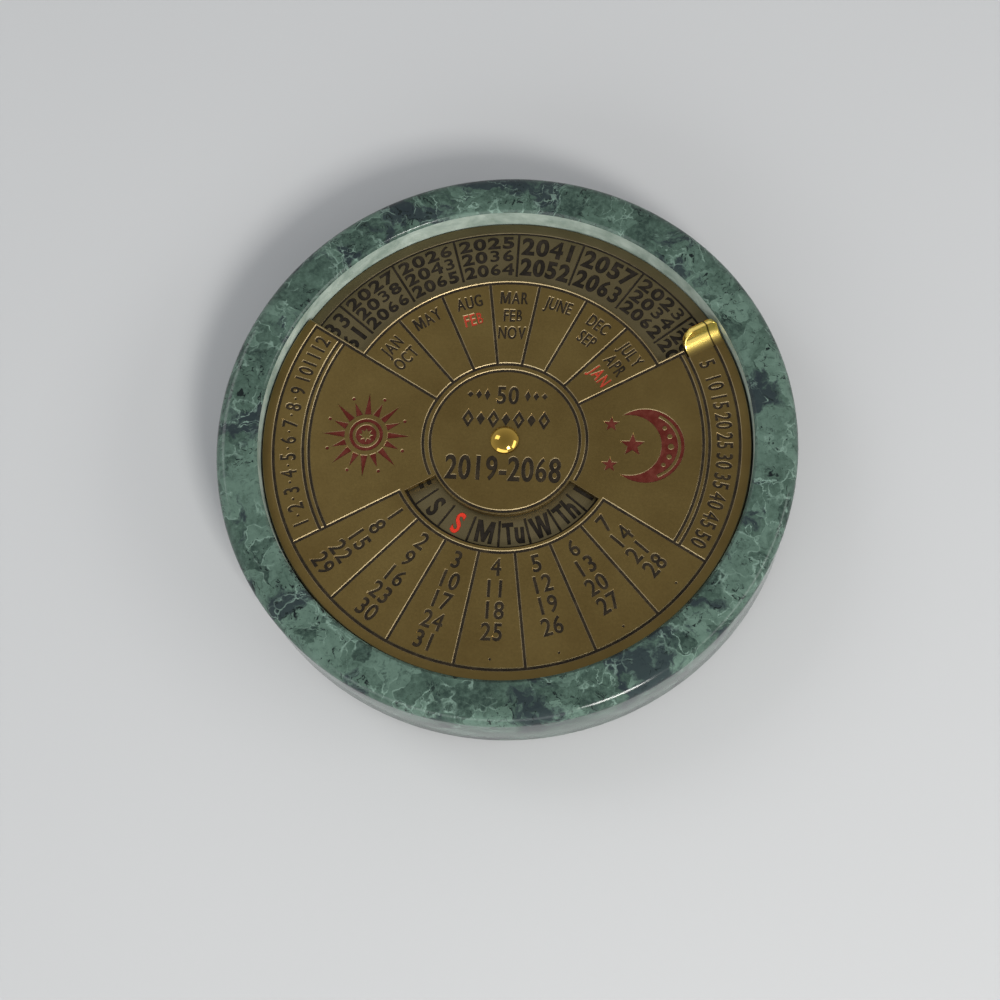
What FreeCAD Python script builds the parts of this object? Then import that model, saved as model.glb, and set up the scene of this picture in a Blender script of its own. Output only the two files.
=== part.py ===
import FreeCAD, Part
import math
import os

# Perpetual desk calendar: a brass cover that turns by a finger tab over a fixed
# brass dial, both let into the top of a round marble base.
# Millimetres. Z is up, the origin is the middle of the felt's underside, and +Y
# runs from the pivot through the middle of the months on the cover.

# Marble base and felt
MARBLE_RADIUS = 39.0
MARBLE_THICKNESS = 12.0
MARBLE_TOP_ROUND = 1.6
MARBLE_FOOT_CHAMFER = 0.8
RIM_WIDTH = 5.8
RIM_INNER_CHAMFER = 0.3
FELT_THICKNESS = 1.0
FELT_INSET = 2.5
FILM_THICKNESS = 0.15
FILM_INSET = 0.5

# Stack in the recess
BOND_THICKNESS = 0.3
BOND_EDGE_INSET = 1.0
BOND_POCKET_MARGIN = 1.0
DIAL_THICKNESS = 1.5
DIAL_CLEARANCE = 0.15
SLIP_THICKNESS = 0.2
SLIP_RADIUS = 8.0
COVER_THICKNESS = 1.0
COVER_CLEARANCE = 0.3
AXIAL_CLEARANCE = 0.05
RIM_ABOVE_COVER = 2.2
EDGE_BREAK = 0.12

# Pivot rivet and its washers
SHANK_RADIUS = 1.2
RUNNING_CLEARANCE = 0.05
RIVET_HEAD_RADIUS = 1.9
RIVET_HEAD_LIP = 0.2
RIVET_HEAD_HEIGHT = 1.0
RIVET_TAIL_RADIUS = 1.9
RIVET_TAIL_HEIGHT = 0.7
SPRING_RADIUS = 3.4
SPRING_THICKNESS = 0.3
SPRING_CONE_HEIGHT = 0.3
TAIL_WASHER_RADIUS = 3.0
TAIL_WASHER_THICKNESS = 0.4
WASHER_CLEARANCE = 0.1
POCKET_CLEARANCE = 1.1
POCKET_FLOOR_CLEARANCE = 0.4

# Columns of the calendar
COLUMN_COUNT = 21
SHOWN_COLUMNS = 7
TOP_ANGLE = 90.0
BOTTOM_ANGLE = 270.0

# Etched lines
LINE_WIDTH = 0.25
ETCH_DEPTH = 0.15
ENAMEL_BELOW_FACE = 0.04

# Year and weekday cells on the dial
YEAR_RIM_BAND = 1.55
YEAR_CELL_DEPTH = 6.6
WEEKDAY_CELL_INNER_RADIUS = 11.0
WEEKDAY_CELL_DEPTH = 3.8

# Notch, window and lines on the cover
NOTCH_DEPTH = 9.2
NOTCH_LAND = 0.42
WINDOW_INNER_RADIUS = 10.5
WINDOW_WIDTH = 4.6
WINDOW_END_INSET = 0.7
TITLE_RING_GAP = 0.4
PANEL_RING_GAP = 0.57
PANEL_RING_END = 1.5
COVER_RIM_BAND = 1.45
TEXT_BAND_WIDTH = 4.05
TWIN_LINE_GAP = 0.8
DATE_LINE_GAP = 0.64

# Finger tab, bent up from the cover at the right end of the notch
TAB_WIDTH = 5.3
TAB_SLIT_WIDTH = 0.2
TAB_BEND_SETBACK = 1.4
TAB_BEND_RADIUS = 2.4
TAB_BEND_ANGLE = 60.0
TAB_FLAT_LENGTH = 0.8
TAB_INNER_CORNER = 2.2
TAB_OUTER_CORNER = 0.8
TAB_LINE_CLEARANCE = 0.2

# Enamelled sun and moon, drawn in shares of the reach that their panels leave them
MOTIF_CLEARANCE = 1.765
SUN_DISC_SHARE = 0.38
SUN_RAY_START_SHARE = 0.5
SUN_SHORT_RAY_SHARE = 0.82
SUN_RAY_WIDTH_SHARE = 0.16
SUN_RAY_COUNT = 16
MOON_SHARE = 0.87
MOON_BITE_SHARE = 0.72
MOON_BITE_OFFSET_SHARE = 0.35
STAR_POINTS = 5
STAR_SHARE = 0.27
SMALL_STAR_SHARE = 0.175
STAR_WAIST_SHARE = 0.42
STAR_NEAR_SHARE = 0.28
STAR_FAR_SHARE = 0.77
STAR_RISE_SHARE = 0.48

# Sizes that follow from those above
PITCH = 360.0 / COLUMN_COUNT
HALF_SPAN = SHOWN_COLUMNS * PITCH / 2.0
RECESS_RADIUS = MARBLE_RADIUS - RIM_WIDTH
DIAL_RADIUS = RECESS_RADIUS - DIAL_CLEARANCE
COVER_RADIUS = RECESS_RADIUS - COVER_CLEARANCE
FELT_RADIUS = MARBLE_RADIUS - FELT_INSET
YEAR_LINE_RADIUS = DIAL_RADIUS - YEAR_RIM_BAND
NOTCH_RADIUS = COVER_RADIUS - NOTCH_DEPTH
WINDOW_OUTER_RADIUS = WINDOW_INNER_RADIUS + WINDOW_WIDTH
TITLE_RING_RADIUS = WINDOW_INNER_RADIUS - TITLE_RING_GAP
PANEL_RING_RADIUS = WINDOW_INNER_RADIUS + PANEL_RING_GAP
OUTER_LINE_RADIUS = COVER_RADIUS - COVER_RIM_BAND
BAND_LINE_RADIUS = OUTER_LINE_RADIUS - TEXT_BAND_WIDTH
TWIN_LINE_RADIUS = BAND_LINE_RADIUS - TWIN_LINE_GAP
DATE_LINE_RADIUS = WINDOW_OUTER_RADIUS + DATE_LINE_GAP
MOTIF_RADIUS = (PANEL_RING_RADIUS + TWIN_LINE_RADIUS) / 2.0
MOTIF_REACH = (TWIN_LINE_RADIUS - PANEL_RING_RADIUS) / 2.0 - MOTIF_CLEARANCE
MONTH_LINE_RADIUS = NOTCH_RADIUS - NOTCH_LAND
RUNNING_RADIUS = SHANK_RADIUS + RUNNING_CLEARANCE
WASHER_HOLE_RADIUS = SHANK_RADIUS + WASHER_CLEARANCE
POCKET_RADIUS = SPRING_RADIUS + POCKET_CLEARANCE
TAB_INNER_RADIUS = COVER_RADIUS - TAB_WIDTH
TAB_ANGLE = TOP_ANGLE - HALF_SPAN
TAB_BEND_START = NOTCH_LAND - TAB_BEND_SETBACK

# Heights, from the desk up
MARBLE_FOOT_Z = FELT_THICKNESS + FILM_THICKNESS
MARBLE_TOP_Z = MARBLE_FOOT_Z + MARBLE_THICKNESS
COVER_TOP_Z = MARBLE_TOP_Z - RIM_ABOVE_COVER
COVER_FOOT_Z = COVER_TOP_Z - COVER_THICKNESS
SLIP_TOP_Z = COVER_FOOT_Z - AXIAL_CLEARANCE
DIAL_TOP_Z = SLIP_TOP_Z - SLIP_THICKNESS
DIAL_FOOT_Z = DIAL_TOP_Z - DIAL_THICKNESS
RECESS_FLOOR_Z = DIAL_FOOT_Z - BOND_THICKNESS
TAIL_WASHER_TOP_Z = DIAL_FOOT_Z - SPRING_THICKNESS - SPRING_CONE_HEIGHT
TAIL_WASHER_FOOT_Z = TAIL_WASHER_TOP_Z - TAIL_WASHER_THICKNESS
RIVET_FOOT_Z = TAIL_WASHER_FOOT_Z - RIVET_TAIL_HEIGHT
POCKET_FLOOR_Z = RIVET_FOOT_Z - POCKET_FLOOR_CLEARANCE
RIVET_HEAD_Z = COVER_TOP_Z + AXIAL_CLEARANCE

OVERRUN = 1.0
MATCH = 0.001
FULL_TURN = 360.0
UP = FreeCAD.Vector(0, 0, 1)
ORIGIN = FreeCAD.Vector(0, 0, 0)


def disc(radius, low, high):
    """Round slab about the pivot's axis."""
    return Part.makeCylinder(radius, high - low, FreeCAD.Vector(0, 0, low), UP)


def ring(inner, outer, low, high):
    """Flat ring about the pivot's axis."""
    return disc(outer, low, high).cut(disc(inner, low - OVERRUN, high + OVERRUN))


def arc_bar(inner, outer, start, end, low, high):
    """Part of a flat ring, from one angle round to another."""
    height = high - low
    base = FreeCAD.Vector(0, 0, low)
    outside = Part.makeCylinder(outer, height, base, UP, end - start)
    inside = Part.makeCylinder(inner, height, base, UP, end - start)
    bar = outside.cut(inside)
    bar.rotate(ORIGIN, UP, start)
    return bar


def ray_bar(inner, outer, angle, low, high):
    """Straight bar one line wide, along a radius."""
    corner = FreeCAD.Vector(inner, -LINE_WIDTH / 2.0, low)
    bar = Part.makeBox(outer - inner, LINE_WIDTH, high - low, corner)
    bar.rotate(ORIGIN, UP, angle)
    return bar


def ring_line(radius, low, high):
    """Closed line of the etched width at a radius."""
    return ring(radius - LINE_WIDTH / 2.0, radius + LINE_WIDTH / 2.0, low, high)


def arc_line(radius, start, end, low, high):
    """Open line of the etched width at a radius."""
    inner = radius - LINE_WIDTH / 2.0
    outer = radius + LINE_WIDTH / 2.0
    return arc_bar(inner, outer, start, end, low, high)


def turned(points):
    """Solid of revolution about Z from a closed outline of (radius, height) points."""
    corners = [FreeCAD.Vector(radius, 0, height) for radius, height in points]
    wire = Part.makePolygon(corners + [corners[0]])
    return Part.Face(wire).revolve(ORIGIN, UP, FULL_TURN)


def prism(points, low, high):
    """Upright solid over a closed outline of (x, y) points."""
    corners = [FreeCAD.Vector(x, y, low) for x, y in points]
    wire = Part.makePolygon(corners + [corners[0]])
    return Part.Face(wire).extrude(UP * (high - low))


def polar(radius, angle):
    """Point in plan at a radius and an angle in degrees."""
    turn = math.radians(angle)
    return radius * math.cos(turn), radius * math.sin(turn)


def fused(shapes):
    """All shapes as one, with the seams between them taken out."""
    return shapes[0].multiFuse(shapes[1:]).removeSplitter()


def edges_at(shape, radius, height):
    """Edges that circle the axis at a radius and a height."""
    found = []
    for edge in shape.Edges:
        curve = edge.Curve
        if isinstance(curve, Part.Circle) and abs(curve.Center.z - height) < MATCH:
            if abs(curve.Radius - radius) < MATCH:
                found.append(edge)
    return found


def felt_pad():
    """Felt disc that the calendar stands on."""
    return disc(FELT_RADIUS, 0.0, FELT_THICKNESS)


def felt_film():
    """Adhesive film between the felt and the marble."""
    return disc(FELT_RADIUS - FILM_INSET, FELT_THICKNESS, MARBLE_FOOT_Z)


def marble_base():
    """Turned and polished marble disc with the recess and the rivet's pocket."""
    body = disc(MARBLE_RADIUS, MARBLE_FOOT_Z, MARBLE_TOP_Z)
    top = edges_at(body, MARBLE_RADIUS, MARBLE_TOP_Z)
    body = body.makeFillet(MARBLE_TOP_ROUND, top)
    foot = edges_at(body, MARBLE_RADIUS, MARBLE_FOOT_Z)
    body = body.makeChamfer(MARBLE_FOOT_CHAMFER, foot)
    body = body.cut(disc(RECESS_RADIUS, RECESS_FLOOR_Z, MARBLE_TOP_Z + OVERRUN))
    mouth = edges_at(body, RECESS_RADIUS, MARBLE_TOP_Z)
    body = body.makeChamfer(RIM_INNER_CHAMFER, mouth)
    return body.cut(disc(POCKET_RADIUS, POCKET_FLOOR_Z, RECESS_FLOOR_Z + OVERRUN))


def bond_ring():
    """Adhesive ring that holds the dial in the recess."""
    inner = POCKET_RADIUS + BOND_POCKET_MARGIN
    outer = DIAL_RADIUS - BOND_EDGE_INSET
    return ring(inner, outer, RECESS_FLOOR_Z, DIAL_FOOT_Z)


def dial_lines(low, high):
    """Lines of the year cells and the weekday cells, between two heights."""
    year_inner = YEAR_LINE_RADIUS - YEAR_CELL_DEPTH
    weekday_outer = WEEKDAY_CELL_INNER_RADIUS + WEEKDAY_CELL_DEPTH
    years = [ring_line(YEAR_LINE_RADIUS, low, high)]
    weekdays = [ring_line(weekday_outer, low, high)]
    for column in range(COLUMN_COUNT):
        turn = column * PITCH
        years.append(ray_bar(year_inner, YEAR_LINE_RADIUS, TOP_ANGLE + turn, low, high))
        weekdays.append(ray_bar(WEEKDAY_CELL_INNER_RADIUS, weekday_outer, BOTTOM_ANGLE + turn, low, high))
    return Part.makeCompound([fused(years), fused(weekdays)])


def dial_plate():
    """Fixed brass dial with its etched lines and the rivet's hole."""
    plate = disc(DIAL_RADIUS, DIAL_FOOT_Z, DIAL_TOP_Z)
    plate = plate.cut(disc(SHANK_RADIUS, DIAL_FOOT_Z - OVERRUN, DIAL_TOP_Z + OVERRUN))
    return plate.cut(dial_lines(DIAL_TOP_Z - ETCH_DEPTH, DIAL_TOP_Z + OVERRUN))


def dial_line_enamel():
    """Black enamel that fills the dial's etched lines."""
    return dial_lines(DIAL_TOP_Z - ETCH_DEPTH, DIAL_TOP_Z - ENAMEL_BELOW_FACE)


def slip_washer():
    """Thin washer that the cover slides on."""
    return ring(SHANK_RADIUS, SLIP_RADIUS, DIAL_TOP_Z, SLIP_TOP_Z)


def spring_washer():
    """Conical spring washer under the dial that keeps the cover's drag even."""
    low = TAIL_WASHER_TOP_Z
    outline = [
        (WASHER_HOLE_RADIUS, low),
        (SPRING_RADIUS, low + SPRING_CONE_HEIGHT),
        (SPRING_RADIUS, low + SPRING_CONE_HEIGHT + SPRING_THICKNESS),
        (WASHER_HOLE_RADIUS, low + SPRING_THICKNESS),
    ]
    return turned(outline)


def tail_washer():
    """Plain washer that the rivet's tail is set against."""
    return ring(WASHER_HOLE_RADIUS, TAIL_WASHER_RADIUS, TAIL_WASHER_FOOT_Z, TAIL_WASHER_TOP_Z)


def dome(radius, height, low):
    """Cap of a sphere on a level circle."""
    sphere_radius = (radius ** 2 + height ** 2) / (2.0 * height)
    ball = Part.makeSphere(sphere_radius, FreeCAD.Vector(0, 0, low + height - sphere_radius))
    return ball.common(disc(radius + OVERRUN, low, low + height + OVERRUN))


def pivot_rivet():
    """Rivet with a polished domed head, the cover's running shank and a set tail."""
    lip = disc(RIVET_HEAD_RADIUS, RIVET_HEAD_Z, RIVET_HEAD_Z + RIVET_HEAD_LIP)
    cap_height = RIVET_HEAD_HEIGHT - RIVET_HEAD_LIP
    cap = dome(RIVET_HEAD_RADIUS, cap_height, RIVET_HEAD_Z + RIVET_HEAD_LIP)
    shank = disc(SHANK_RADIUS, TAIL_WASHER_FOOT_Z, RIVET_HEAD_Z)
    tail = disc(RIVET_TAIL_RADIUS, RIVET_FOOT_Z, TAIL_WASHER_FOOT_Z)
    return fused([lip, cap, shank, tail])


def notch():
    """Space that the cover leaves open over the years, its ends parallel to their lines."""
    low = COVER_FOOT_Z - OVERRUN
    high = COVER_TOP_Z + OVERRUN
    start = TOP_ANGLE - HALF_SPAN
    end = TOP_ANGLE + HALF_SPAN
    space = arc_bar(NOTCH_RADIUS, COVER_RADIUS + OVERRUN, start, end, low, high)
    for angle, side in ((start, 0.0), (end, -NOTCH_LAND)):
        corner = FreeCAD.Vector(0, side, low)
        land = Part.makeBox(COVER_RADIUS + 2.0 * OVERRUN, NOTCH_LAND, high - low, corner)
        land.rotate(ORIGIN, UP, angle)
        space = space.cut(land)
    return space


def window():
    """Space that the cover leaves open over the weekdays."""
    start = BOTTOM_ANGLE - HALF_SPAN + WINDOW_END_INSET
    end = BOTTOM_ANGLE + HALF_SPAN - WINDOW_END_INSET
    low = COVER_FOOT_Z - OVERRUN
    return arc_bar(WINDOW_INNER_RADIUS, WINDOW_OUTER_RADIUS, start, end, low, COVER_TOP_Z + OVERRUN)


def tab_zone():
    """Space over the cover's corner that the bent tab takes the place of."""
    length = TAB_WIDTH + TAB_SLIT_WIDTH + OVERRUN
    width = NOTCH_LAND - TAB_BEND_START + OVERRUN
    height = COVER_THICKNESS + 2.0 * OVERRUN
    corner = FreeCAD.Vector(TAB_INNER_RADIUS - TAB_SLIT_WIDTH, TAB_BEND_START, COVER_FOOT_Z - OVERRUN)
    zone = Part.makeBox(length, width, height, corner)
    zone.rotate(ORIGIN, UP, TAB_ANGLE)
    return zone


def finger_tab():
    """Tab that curves up out of the cover, with a rounded end."""
    bend = math.radians(TAB_BEND_ANGLE)
    along = FreeCAD.Vector(0, math.cos(bend), math.sin(bend))
    through = FreeCAD.Vector(0, math.sin(bend), -math.cos(bend)) * COVER_THICKNESS
    centre = FreeCAD.Vector(TAB_INNER_RADIUS, TAB_BEND_START, COVER_TOP_Z + TAB_BEND_RADIUS)

    def on_arc(radius, turn):
        return centre + FreeCAD.Vector(0, math.sin(turn), -math.cos(turn)) * radius

    lower_radius = TAB_BEND_RADIUS + COVER_THICKNESS
    top_start = on_arc(TAB_BEND_RADIUS, 0.0)
    top_middle = on_arc(TAB_BEND_RADIUS, bend / 2.0)
    top_end = on_arc(TAB_BEND_RADIUS, bend)
    tip_top = top_end + along * TAB_FLAT_LENGTH
    tip_foot = tip_top + through
    foot_end = on_arc(lower_radius, bend)
    foot_middle = on_arc(lower_radius, bend / 2.0)
    foot_start = on_arc(lower_radius, 0.0)
    outline = Part.Wire([
        Part.Arc(top_start, top_middle, top_end).toShape(),
        Part.LineSegment(top_end, tip_top).toShape(),
        Part.LineSegment(tip_top, tip_foot).toShape(),
        Part.LineSegment(tip_foot, foot_end).toShape(),
        Part.Arc(foot_end, foot_middle, foot_start).toShape(),
        Part.LineSegment(foot_start, top_start).toShape(),
    ])
    strip = Part.Face(outline).extrude(FreeCAD.Vector(TAB_WIDTH, 0, 0))
    plan = rounded_plan(tip_foot.y)
    strip = strip.common(plan)
    strip.rotate(ORIGIN, UP, TAB_ANGLE)
    return strip.common(disc(COVER_RADIUS, COVER_FOOT_Z - OVERRUN, MARBLE_TOP_Z + OVERRUN))


def rounded_plan(tip):
    """Upright block over the tab's outline in plan, with its two outer corners rounded."""
    low = COVER_FOOT_Z - OVERRUN
    corner = FreeCAD.Vector(TAB_INNER_RADIUS, TAB_BEND_START, low)
    block = Part.makeBox(TAB_WIDTH, tip - TAB_BEND_START, MARBLE_TOP_Z - low, corner)
    for side, radius in ((TAB_INNER_RADIUS, TAB_INNER_CORNER), (COVER_RADIUS, TAB_OUTER_CORNER)):
        for edge in block.Edges:
            if all(math.hypot(end.X - side, end.Y - tip) < MATCH for end in edge.Vertexes):
                block = block.makeFillet(radius, [edge])
                break
    return block


def cover_lines(low, high):
    """Every etched line of the cover, between two heights."""
    top_start = TOP_ANGLE - HALF_SPAN
    top_end = TOP_ANGLE + HALF_SPAN
    foot_start = BOTTOM_ANGLE - HALF_SPAN
    foot_end = BOTTOM_ANGLE + HALF_SPAN
    ring_start = foot_end + PANEL_RING_END - FULL_TURN
    ring_end = foot_start - PANEL_RING_END
    lines = [
        arc_line(PANEL_RING_RADIUS, ring_start, ring_end, low, high),
        arc_line(MONTH_LINE_RADIUS, top_start, top_end, low, high),
        arc_line(OUTER_LINE_RADIUS, top_end, top_start + FULL_TURN, low, high),
        arc_line(DATE_LINE_RADIUS, foot_start, foot_end, low, high),
    ]
    for radius in (TWIN_LINE_RADIUS, BAND_LINE_RADIUS):
        lines.append(arc_line(radius, top_end, foot_start, low, high))
        lines.append(arc_line(radius, foot_end, top_start + FULL_TURN, low, high))
    for step in range(SHOWN_COLUMNS + 1):
        at_end = step in (0, SHOWN_COLUMNS)
        reach = OUTER_LINE_RADIUS if at_end else MONTH_LINE_RADIUS
        lines.append(ray_bar(PANEL_RING_RADIUS, reach, top_start + step * PITCH, low, high))
        lines.append(ray_bar(DATE_LINE_RADIUS, OUTER_LINE_RADIUS, foot_start + step * PITCH, low, high))
    network = fused(lines).cut(tab_keep_out(low, high))
    return Part.makeCompound([ring_line(TITLE_RING_RADIUS, low, high), network])


def tab_keep_out(low, high):
    """Space about the finger tab that the etched lines stop short of."""
    edge = TAB_SLIT_WIDTH + TAB_LINE_CLEARANCE
    corner = FreeCAD.Vector(TAB_INNER_RADIUS - edge, TAB_BEND_START - TAB_LINE_CLEARANCE, low - OVERRUN)
    width = NOTCH_LAND - TAB_BEND_START + TAB_LINE_CLEARANCE + OVERRUN
    space = Part.makeBox(TAB_WIDTH + edge + OVERRUN, width, high - low + 2.0 * OVERRUN, corner)
    space.rotate(ORIGIN, UP, TAB_ANGLE)
    return space


def sun(low, high):
    """Sun with long and short rays, in the left panel."""
    shapes = [disc(SUN_DISC_SHARE * MOTIF_REACH, low, high)]
    foot = SUN_RAY_START_SHARE * MOTIF_REACH
    half_width = SUN_RAY_WIDTH_SHARE * MOTIF_REACH / 2.0
    for ray in range(SUN_RAY_COUNT):
        tip = MOTIF_REACH * (SUN_SHORT_RAY_SHARE if ray % 2 else 1.0)
        outline = [(foot, -half_width), (tip, 0.0), (foot, half_width)]
        spike = prism(outline, low, high)
        spike.rotate(ORIGIN, UP, ray * FULL_TURN / SUN_RAY_COUNT)
        shapes.append(spike)
    whole = Part.makeCompound(shapes)
    whole.translate(FreeCAD.Vector(-MOTIF_RADIUS, 0, 0))
    return whole


def star(x, y, radius, low, high):
    """Star with one point up."""
    outline = []
    for corner in range(2 * STAR_POINTS):
        reach = radius * STAR_WAIST_SHARE if corner % 2 else radius
        dx, dy = polar(reach, TOP_ANGLE + corner * FULL_TURN / (2 * STAR_POINTS))
        outline.append((x + dx, y + dy))
    return prism(outline, low, high)


def moon(low, high):
    """Crescent moon with three stars in its bight, in the right panel."""
    bite = disc(MOON_BITE_SHARE * MOTIF_REACH, low - OVERRUN, high + OVERRUN)
    bite.translate(FreeCAD.Vector(-MOON_BITE_OFFSET_SHARE * MOTIF_REACH, 0, 0))
    shapes = [disc(MOON_SHARE * MOTIF_REACH, low, high).cut(bite)]
    shapes.append(star(-STAR_NEAR_SHARE * MOTIF_REACH, 0.0, STAR_SHARE * MOTIF_REACH, low, high))
    far = -STAR_FAR_SHARE * MOTIF_REACH
    rise = STAR_RISE_SHARE * MOTIF_REACH
    for side in (-rise, rise):
        shapes.append(star(far, side, SMALL_STAR_SHARE * MOTIF_REACH, low, high))
    whole = Part.makeCompound(shapes)
    whole.translate(FreeCAD.Vector(MOTIF_RADIUS, 0, 0))
    return whole


def cover_plate():
    """Turning brass cover with its notch, window, finger tab and etched lines."""
    plate = disc(COVER_RADIUS, COVER_FOOT_Z, COVER_TOP_Z).cut(notch()).cut(window())
    top_edges = [edge for edge in plate.Edges if edge.BoundBox.ZMin > COVER_TOP_Z - MATCH]
    plate = plate.makeChamfer(EDGE_BREAK, top_edges)
    plate = plate.cut(tab_zone()).fuse(finger_tab()).removeSplitter()
    plate = plate.cut(disc(RUNNING_RADIUS, COVER_FOOT_Z - OVERRUN, COVER_TOP_Z + OVERRUN))
    etch_floor = COVER_TOP_Z - ETCH_DEPTH
    for etched in (cover_lines, sun, moon):
        plate = plate.cut(etched(etch_floor, COVER_TOP_Z + OVERRUN))
    return plate


def cover_line_enamel():
    """Black enamel that fills the cover's etched lines."""
    return cover_lines(COVER_TOP_Z - ETCH_DEPTH, COVER_TOP_Z - ENAMEL_BELOW_FACE)


def sun_enamel():
    """Dark red enamel that fills the sun."""
    return sun(COVER_TOP_Z - ETCH_DEPTH, COVER_TOP_Z - ENAMEL_BELOW_FACE)


def moon_enamel():
    """Dark red enamel that fills the moon and stars."""
    return moon(COVER_TOP_Z - ETCH_DEPTH, COVER_TOP_Z - ENAMEL_BELOW_FACE)


PIECES = {
    "felt_pad": felt_pad,
    "felt_film": felt_film,
    "marble_base": marble_base,
    "bond_ring": bond_ring,
    "dial_plate": dial_plate,
    "dial_line_enamel": dial_line_enamel,
    "slip_washer": slip_washer,
    "spring_washer": spring_washer,
    "tail_washer": tail_washer,
    "pivot_rivet": pivot_rivet,
    "cover_plate": cover_plate,
    "cover_line_enamel": cover_line_enamel,
    "sun_enamel": sun_enamel,
    "moon_enamel": moon_enamel,
}

os.makedirs("parts", exist_ok=True)
for name, make in PIECES.items():
    make().exportStep("parts/" + name + ".step")
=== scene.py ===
import calendar
import datetime
import logging
import math
from collections import deque
from dataclasses import dataclass, field
from enum import Enum

import bmesh
import bpy
from mathutils import Matrix, Vector
from mathutils.geometry import delaunay_2d_cdt, interpolate_bezier


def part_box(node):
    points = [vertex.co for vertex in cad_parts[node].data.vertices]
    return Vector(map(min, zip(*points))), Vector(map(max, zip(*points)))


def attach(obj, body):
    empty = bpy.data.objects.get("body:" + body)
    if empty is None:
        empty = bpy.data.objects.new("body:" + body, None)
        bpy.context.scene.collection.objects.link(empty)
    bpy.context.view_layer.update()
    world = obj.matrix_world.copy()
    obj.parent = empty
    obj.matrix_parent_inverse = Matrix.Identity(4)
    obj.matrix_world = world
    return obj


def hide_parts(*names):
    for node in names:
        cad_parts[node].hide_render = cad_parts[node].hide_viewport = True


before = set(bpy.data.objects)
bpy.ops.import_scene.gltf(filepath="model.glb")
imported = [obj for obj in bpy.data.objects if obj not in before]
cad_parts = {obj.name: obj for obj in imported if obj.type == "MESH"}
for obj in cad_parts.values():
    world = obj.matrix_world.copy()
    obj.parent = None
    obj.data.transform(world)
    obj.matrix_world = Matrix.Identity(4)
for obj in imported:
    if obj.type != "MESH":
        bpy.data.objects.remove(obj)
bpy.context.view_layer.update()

# Perpetual desk calendar. Outlines are drawn in plan in millimetres and degrees, about the pivot,
# and each mesh is brought to metres when it is finished.

MM = 0.001
FULL_TURN = 360.0
TOP = 90.0
BOTTOM = 270.0
COLUMNS = 21
SHOWN = 7
PITCH = FULL_TURN / COLUMNS
HALF_SPAN = SHOWN * PITCH / 2.0
LEFT_END = TOP + HALF_SPAN
RIGHT_END = TOP - HALF_SPAN
DATES_START = BOTTOM - HALF_SPAN
DATES_END = BOTTOM + HALF_SPAN
LINE_HALF = 0.125
TINY = 1e-6
FLAT_SHARP = 24.0
TURNED_SHARP = 32.0
BENT_SHARP = 40.0

log = logging.getLogger("desk_calendar")

Colour = tuple[float, float, float]


class Body(Enum):
    """Bodies that the pieces ride on."""

    BASE = "base"
    COVER = "cover"


class Facing(Enum):
    """Where the tops of the characters point."""

    OUTWARD = 1.0
    INWARD = -1.0


def node_box(node: str) -> tuple[Vector, Vector]:
    """Corners of a CAD node in millimetres.

    Args:
        node: The node's name.

    Returns:
        Its lowest and its highest corner.
    """
    low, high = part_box(node)
    return low / MM, high / MM


def polar(radius: float, angle: float) -> Vector:
    """Point in plan at a radius and an angle in degrees."""
    turn = math.radians(angle)
    return Vector((math.cos(turn), math.sin(turn))) * radius


def off(distance: float, radius: float) -> float:
    """Degrees by which a line parallel to a ray, that far to its side, leads the ray at a radius."""
    return math.degrees(math.asin(distance / radius))


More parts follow.
